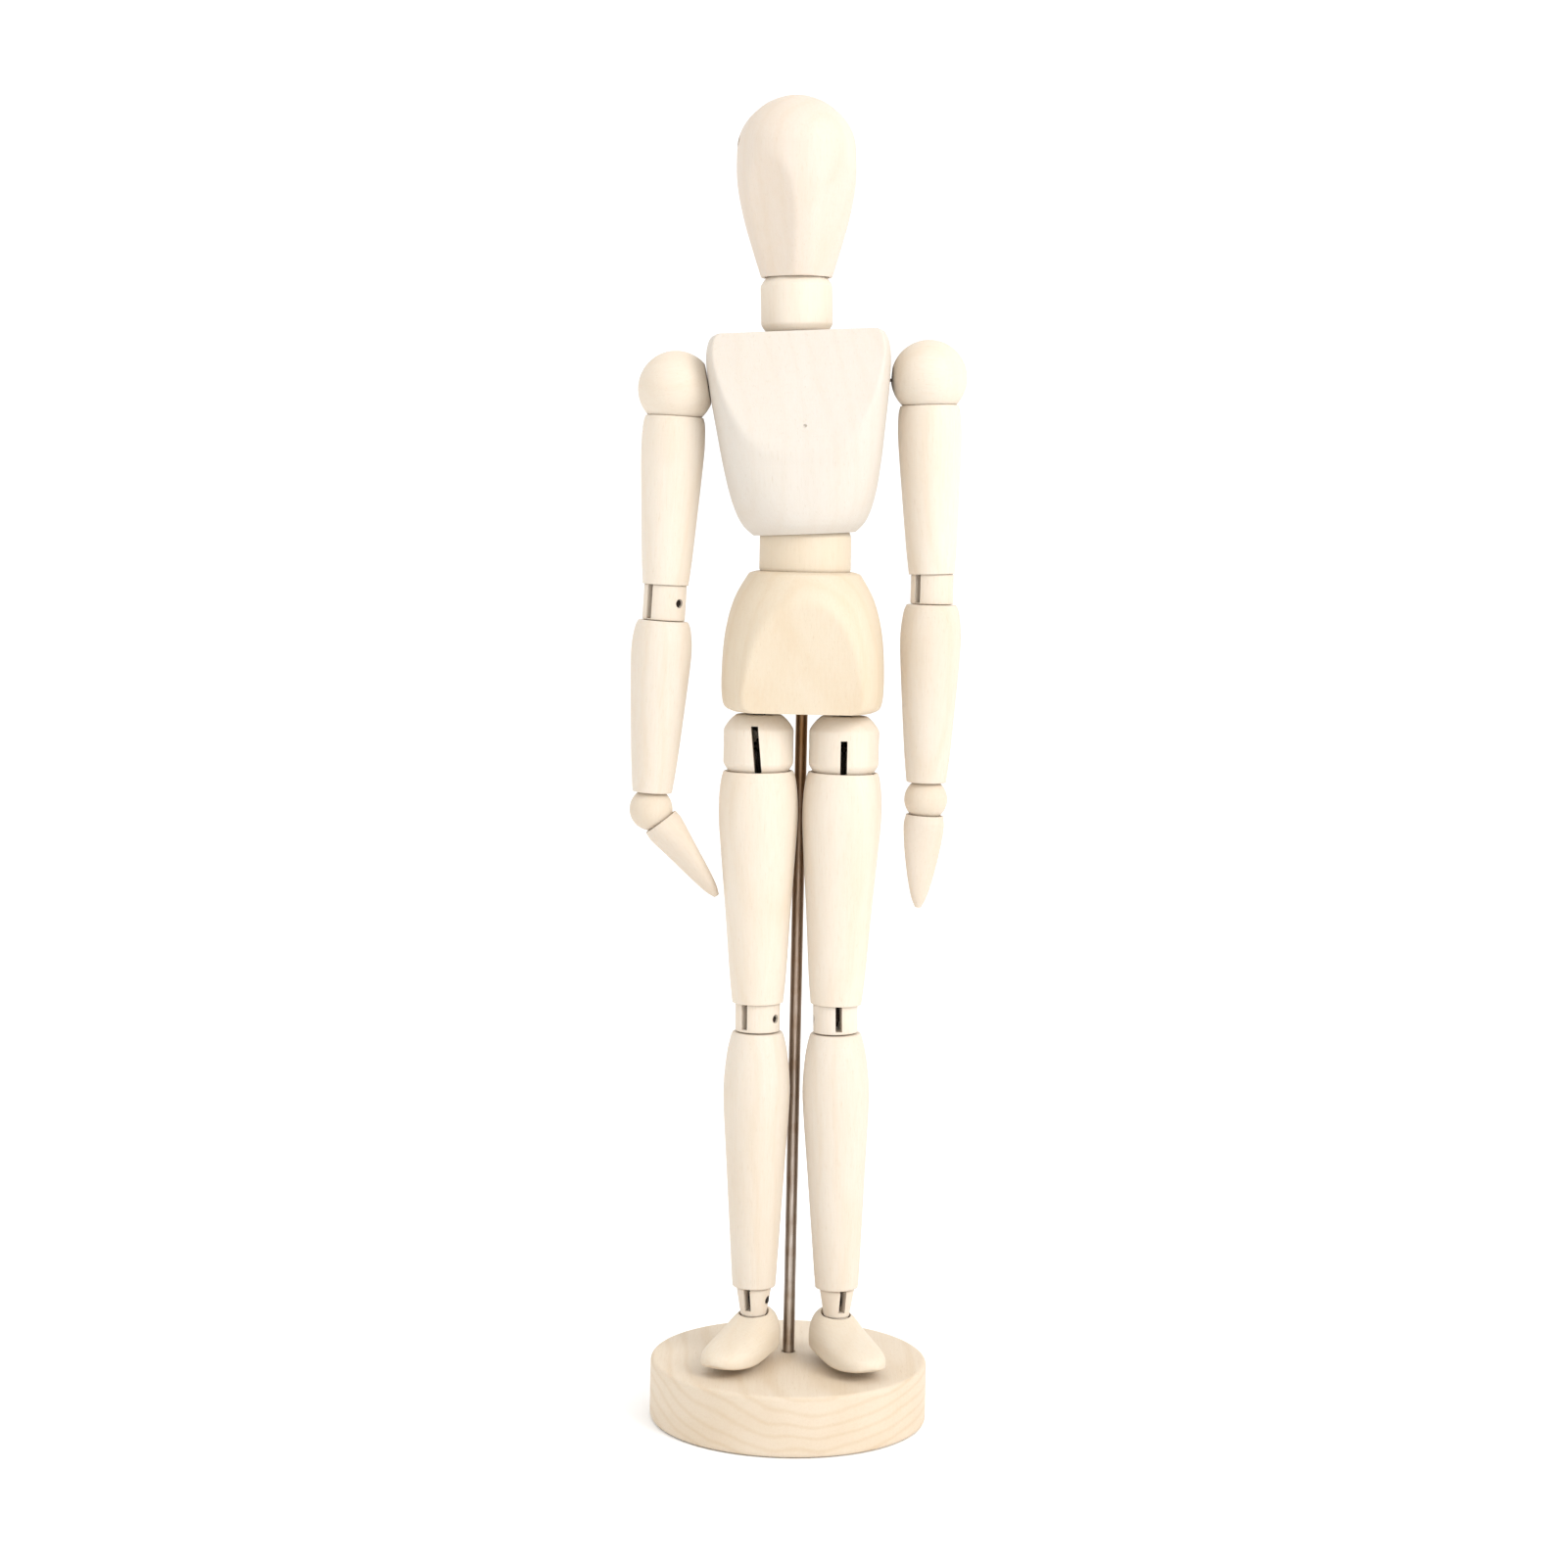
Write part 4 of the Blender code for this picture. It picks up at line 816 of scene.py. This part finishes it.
for side, (sign, *_rest) in ARM.items():
    at = "shoulder_" + side
    timber("shoulder_ball_" + side, shoulder_ball(sign, SHOULDER_FLAT[side]), at, "limb", rings=0.5, along="X", contrast=0.8)
    place("shoulder_pin_" + side, bar(PIN_R, (0, -1.55, 0), (0, 2.85, 0), 24, 0.08), at, INNER_STEEL)
    place("arm_hook_" + side, link_plate(0.66, 0.8, 8.6, PLATE, "Y"), "hook_arm_" + side, INNER_STEEL)
    slit = block((-SLOT / 2, -0.85, -ELBOW_DOWN + 1.5), (SLOT / 2, 0.85, -ELBOW_DOWN + 5.3))
    timber("upper_arm_" + side, limb(UPPER_ARM_KNOTS, (SHOULDER_BALL + SEAT_GAP, ARM_TOP), ELBOW_DOWN, ELBOW_BALL + SEAT_GAP,
                                     ELBOW_RIM, 0.95, -9.3, slit), "upper_arm_" + side, "limb", rings=0.7)
    tongue = link_plate(0.78, 1.3, 5.0, PLATE, "X")
    tongue.transform(shift(0, 0, -ELBOW_DOWN) @ turn("X", 180))
    place("elbow_tongue_" + side, tongue, "upper_arm_" + side, INNER_STEEL)
    timber("elbow_knuckle_" + side, knuckle(ELBOW_R, ELBOW_BALL, ELBOW_FOOT[side], 0.80, 3.7, -sign, None, ELBOW_FOOT[side] - 0.10), "elbow_" + side, "knuckle", rings=0.4, contrast=0.8)
    place("elbow_pin_" + side, bar(PIN_R - 0.03, (sign * 1.30, 0, 0), (-sign * 1.66, 0, 0), 24, 0.08), "elbow_" + side, INNER_STEEL)
    rise = 1.50 - ELBOW_FOOT[side]
    knots = [(r, z + rise * max(0.0, (z + 5.2) / 3.64)) for r, z in FOREARM_KNOTS]
    timber("forearm_" + side, limb(knots, None, WRIST_DOWN, WRIST_BALL + SEAT_GAP, 1.47, 0.92, -4.2), "elbow_" + side, "lower", rings=0.7)
    stem = arc(WRIST_BALL, 0, 0, 180 - math.degrees(math.asin(0.42 / WRIST_BALL)), 30) + [(0.42, 4.1), (0.0, 4.1)]
    timber("wrist_ball_" + side, polar(fillet(stem, 0.08, 20), 72), "wrist_" + side, "wrist", rings=0.4, contrast=0.7)
    timber("hand_" + side, hand(), "hand_" + side, "hand", rings=0.5)


# ---------------------------------------------------------------------- legs
HIP_SLOT = {"left": (0.75, 0.56, 0.0, 0.0), "right": (1.85, 0.60, -0.0725, -0.0987)}   # top, width, offset, slope


def hip_ball(slot_top, width, offset, slope):
    flat = math.sqrt(HIP_BALL ** 2 - HIP_R ** 2)
    low = math.degrees(math.acos(flat / HIP_BALL))
    lower = arc(HIP_BALL, 0, 0, low, 22)
    upper = [(r, -z) for r, z in reversed(arc(HIP_BALL, 0, math.degrees(math.acos(HIP_FLAT / HIP_BALL)), low, 8))]
    line = lower + [(HIP_R, -flat + 2 * flat * k / 6) for k in range(1, 6)] + upper + [(0.62, HIP_FLAT), (0.62, 0.95), (0.0, 0.95)]
    mesh = polar(fillet(line, 0.14, 20), FULL)
    # the saw cut leans above the thigh and runs straight below it
    rings = []
    for z in (-4.0, -1.9, slot_top):
        x = offset + slope * max(z, -1.9)
        rings.append([(x - width / 2, -4, z), (x + width / 2, -4, z), (x + width / 2, 0.85, z), (x - width / 2, 0.85, z)])
    return cut(mesh, lofted(rings), bar(PIN_HOLE, (-4, 0, 0), (4, 0, 0), 28))


THIGH_KNOTS = [(2.20, -22.15), (2.45, -19.6), (2.80, -14.5), (3.20, -9.2), (3.40, -6.2), (3.36, -4.2), (3.20, -2.85), (3.00, -2.12)]
SHIN_KNOTS = [(1.88, -23.65), (2.06, -20.8), (2.50, -13.5), (2.84, -8.0), (2.86, -5.6), (2.62, -3.2), (2.32, -1.75), (2.14, -1.28)]
FOOT_STATIONS = [  # forward distance from the ankle, half width, height of the instep above the sole, lift of the sole
    (-2.60, 0.95, 2.60, 0.90), (-2.30, 1.45, 3.30, 0.45), (-1.70, 1.85, 3.86, 0.14), (-0.8, 2.12, 3.98, 0.02), (0.4, 2.25, 3.74, 0.0),
    (1.6, 2.34, 3.22, 0.0), (3.0, 2.42, 2.72, 0.0), (4.4, 2.42, 2.36, 0.0), (5.7, 2.22, 2.06, 0.10),
    (6.7, 1.78, 1.78, 0.24), (7.35, 1.20, 1.50, 0.42), (7.62, 0.62, 1.20, 0.62)]


def foot():
    rows = between(FOOT_STATIONS, 6)
    first, last = rows[0], rows[-1]

    def squeezed(row, away, share):
        forward, half, high, lift = row
        mid = lift + (high - lift) * 0.42
        return (forward + away, half * share, mid + (high - mid) * share, mid + (lift - mid) * share)

    rows = [squeezed(first, -0.16, 0.02), squeezed(first, -0.15, 0.35), squeezed(first, -0.11, 0.66), squeezed(first, -0.05, 0.87)] + rows
    rows += [squeezed(last, 0.04, 0.85), squeezed(last, 0.08, 0.60), squeezed(last, 0.105, 0.3), squeezed(last, 0.11, 0.02)]
    rings = []
    for forward, half, high, lift in rows:
        ring = []
        for i in range(64):
            t = 2 * math.pi * (i + 0.5) / 64
            c, s = math.cos(t), math.sin(t)
            x = half * math.copysign(abs(c) ** 0.80, c)
            mid = lift + (high - lift) * 0.30
            z = mid + (high - mid) * abs(s) ** 0.86 if s >= 0 else mid - (mid - lift) * abs(s) ** 0.45
            ring.append((x, -forward, z - SOLE_DOWN))
        rings.append(ring)
    socket = polar(fillet([(0.0, 0.6), (1.95, 0.6), (1.24, -1.45), (1.24, -2.75), (0.0, -2.75)], 0.05), 48)
    return cut(lofted(rings), (socket, 0))


for side, (sign, _slot, _lean, _lean_shin, azimuth, toe) in LEG.items():
    at = "hip_" + side
    timber("hip_ball_" + side, hip_ball(*HIP_SLOT[side]), at, "limb", rings=0.5, contrast=0.9)
    place("hip_pin_" + side, bar(PIN_R, (-2.72, 0, 0), (2.72, 0, 0), 24, 0.08), at, INNER_STEEL)
    place("hip_pivot_" + side, bar(0.52, (sign * HIP_OUT, 0, HIP_Z + 1.35), (sign * HIP_OUT, 0, HIP_Z + 5.65), 24, 0.14), "figure", INNER_STEEL)
    place("hip_hook_" + side, link_plate(0.66, 0.8, 9.6, 0.30, "X"), "hook_" + side, INNER_STEEL)
    slit = block((-SLOT / 2, -0.85, -KNEE_DOWN + 1.5), (SLOT / 2, 0.85, -KNEE_DOWN + 5.3))
    timber("thigh_" + side, limb(THIGH_KNOTS, (HIP_BALL + SEAT_GAP, THIGH_TOP), KNEE_DOWN, KNEE_BALL + SEAT_GAP, KNEE_RIM, 0.95, -10.3, slit),
           "thigh_" + side, "limb", rings=0.7)
    tongue = link_plate(0.78, 1.3, 5.0, PLATE, "X")
    tongue.transform(shift(0, 0, -KNEE_DOWN) @ turn("X", 180))
    place("knee_tongue_" + side, tongue, "thigh_" + side, INNER_STEEL)
    timber("knee_knuckle_" + side, knuckle(KNEE_R, KNEE_BALL, 1.17, 0.80, 3.7, -sign), "knee_" + side, "knuckle", rings=0.4, contrast=0.8)
    place("knee_pin_" + side, bar(PIN_R - 0.03, (sign * 1.42, 0, 0), (-sign * 1.78, 0, 0), 24, 0.08), "knee_" + side, INNER_STEEL)
    slit = block((-SLOT / 2, -0.85, 1.2), (SLOT / 2, 0.85, 4.5))
    slit.transform(shift(0, 0, -ANKLE_DOWN) @ turn("Z", toe - azimuth))
    timber("shin_" + side, limb(SHIN_KNOTS, None, ANKLE_DOWN, ANKLE_BALL + SEAT_GAP, ANKLE_RIM, 0.92, -4.2, slit),
           "knee_" + side, "lower", rings=0.7)
    tongue = link_plate(0.70, 1.1, 4.2, PLATE, "X")
    tongue.transform(shift(0, 0, -ANKLE_DOWN) @ turn("Z", toe - azimuth) @ turn("X", 180))
    place("ankle_tongue_" + side, tongue, "knee_" + side, INNER_STEEL)
    timber("ankle_knuckle_" + side, knuckle(ANKLE_R, ANKLE_BALL, 1.35, 1.02, 2.6, 1, 1.12), "ankle_" + side, "knuckle", rings=0.4, contrast=0.8)
    place("ankle_pin_" + side, bar(PIN_R - 0.03, (-1.0, 0, 0), (1.36, 0, 0), 24, 0.08), "ankle_" + side, INNER_STEEL)
    timber("foot_" + side, foot(), "ankle_" + side, "foot", rings=0.6, along="Y")


WORLD, EXPOSURE = 0.90, 0.43
LAMPS = [
    ("key", (0.60, -0.55, 0.62), (0, 0, 0.05), (0.45, 0.45), 4.1, (1.0, 0.985, 0.965)),
]


# --------------------------------------------------------- floor, light, view
floor_bm = bmesh.new()
bmesh.ops.create_circle(floor_bm, cap_ends=True, segments=96, radius=4.0)
floor_mesh = bpy.data.meshes.new("floor")
floor_bm.to_mesh(floor_mesh)
floor_bm.free()
floor = bpy.data.objects.new("floor", floor_mesh)
bpy.context.scene.collection.objects.link(floor)
floor.location.z = -0.00005
made, tree, shader, where = start("pale_floor")
grain = noise_at(tree, where, 120.0, 3.0)
tree.links.new(mixed(tree, grain, (0.955, 0.955, 0.955), (0.975, 0.975, 0.975)), shader.inputs["Base Color"])
shader.inputs["Roughness"].default_value = 0.9
shader.inputs["Specular IOR Level"].default_value = 0.1
floor_mesh.materials.append(made)

world = bpy.data.worlds.new("studio")
world.use_nodes = True
world.node_tree.nodes["Background"].inputs["Color"].default_value = (1.0, 1.0, 1.0, 1)
world.node_tree.nodes["Background"].inputs["Strength"].default_value = WORLD
bpy.context.scene.world = world


def lamp(name, where, at, size, power, colour):
    data = bpy.data.lights.new(name, "AREA")
    data.shape = "RECTANGLE"
    data.size, data.size_y = size
    data.energy = power
    data.color = colour
    obj = bpy.data.objects.new(name, data)
    bpy.context.scene.collection.objects.link(obj)
    obj.location = where
    obj.rotation_mode = "QUATERNION"
    obj.rotation_quaternion = (Vector(at) - Vector(where)).to_track_quat("-Z", "Y")
    return obj


for lamp_args in LAMPS:
    lamp(*lamp_args)

eye = bpy.data.cameras.new("eye")
eye.sensor_width = 36.0
eye.lens = 68.22
eye.clip_start, eye.clip_end = 0.01, 20.0
camera = bpy.data.objects.new("eye", eye)
bpy.context.scene.collection.objects.link(camera)
camera.matrix_world = (Matrix.Translation((-0.00141, -0.25428, 0.07933)) @ turn("X", 84.657) @ turn("Z", 1.17))
bpy.context.scene.camera = camera

bpy.context.scene.view_settings.view_transform = "Standard"
bpy.context.scene.view_settings.look = "None"
bpy.context.scene.view_settings.exposure = EXPOSURE
bpy.context.scene.view_settings.gamma = 1.0

for m in STANDS:
    bpy.data.materials.remove(m)
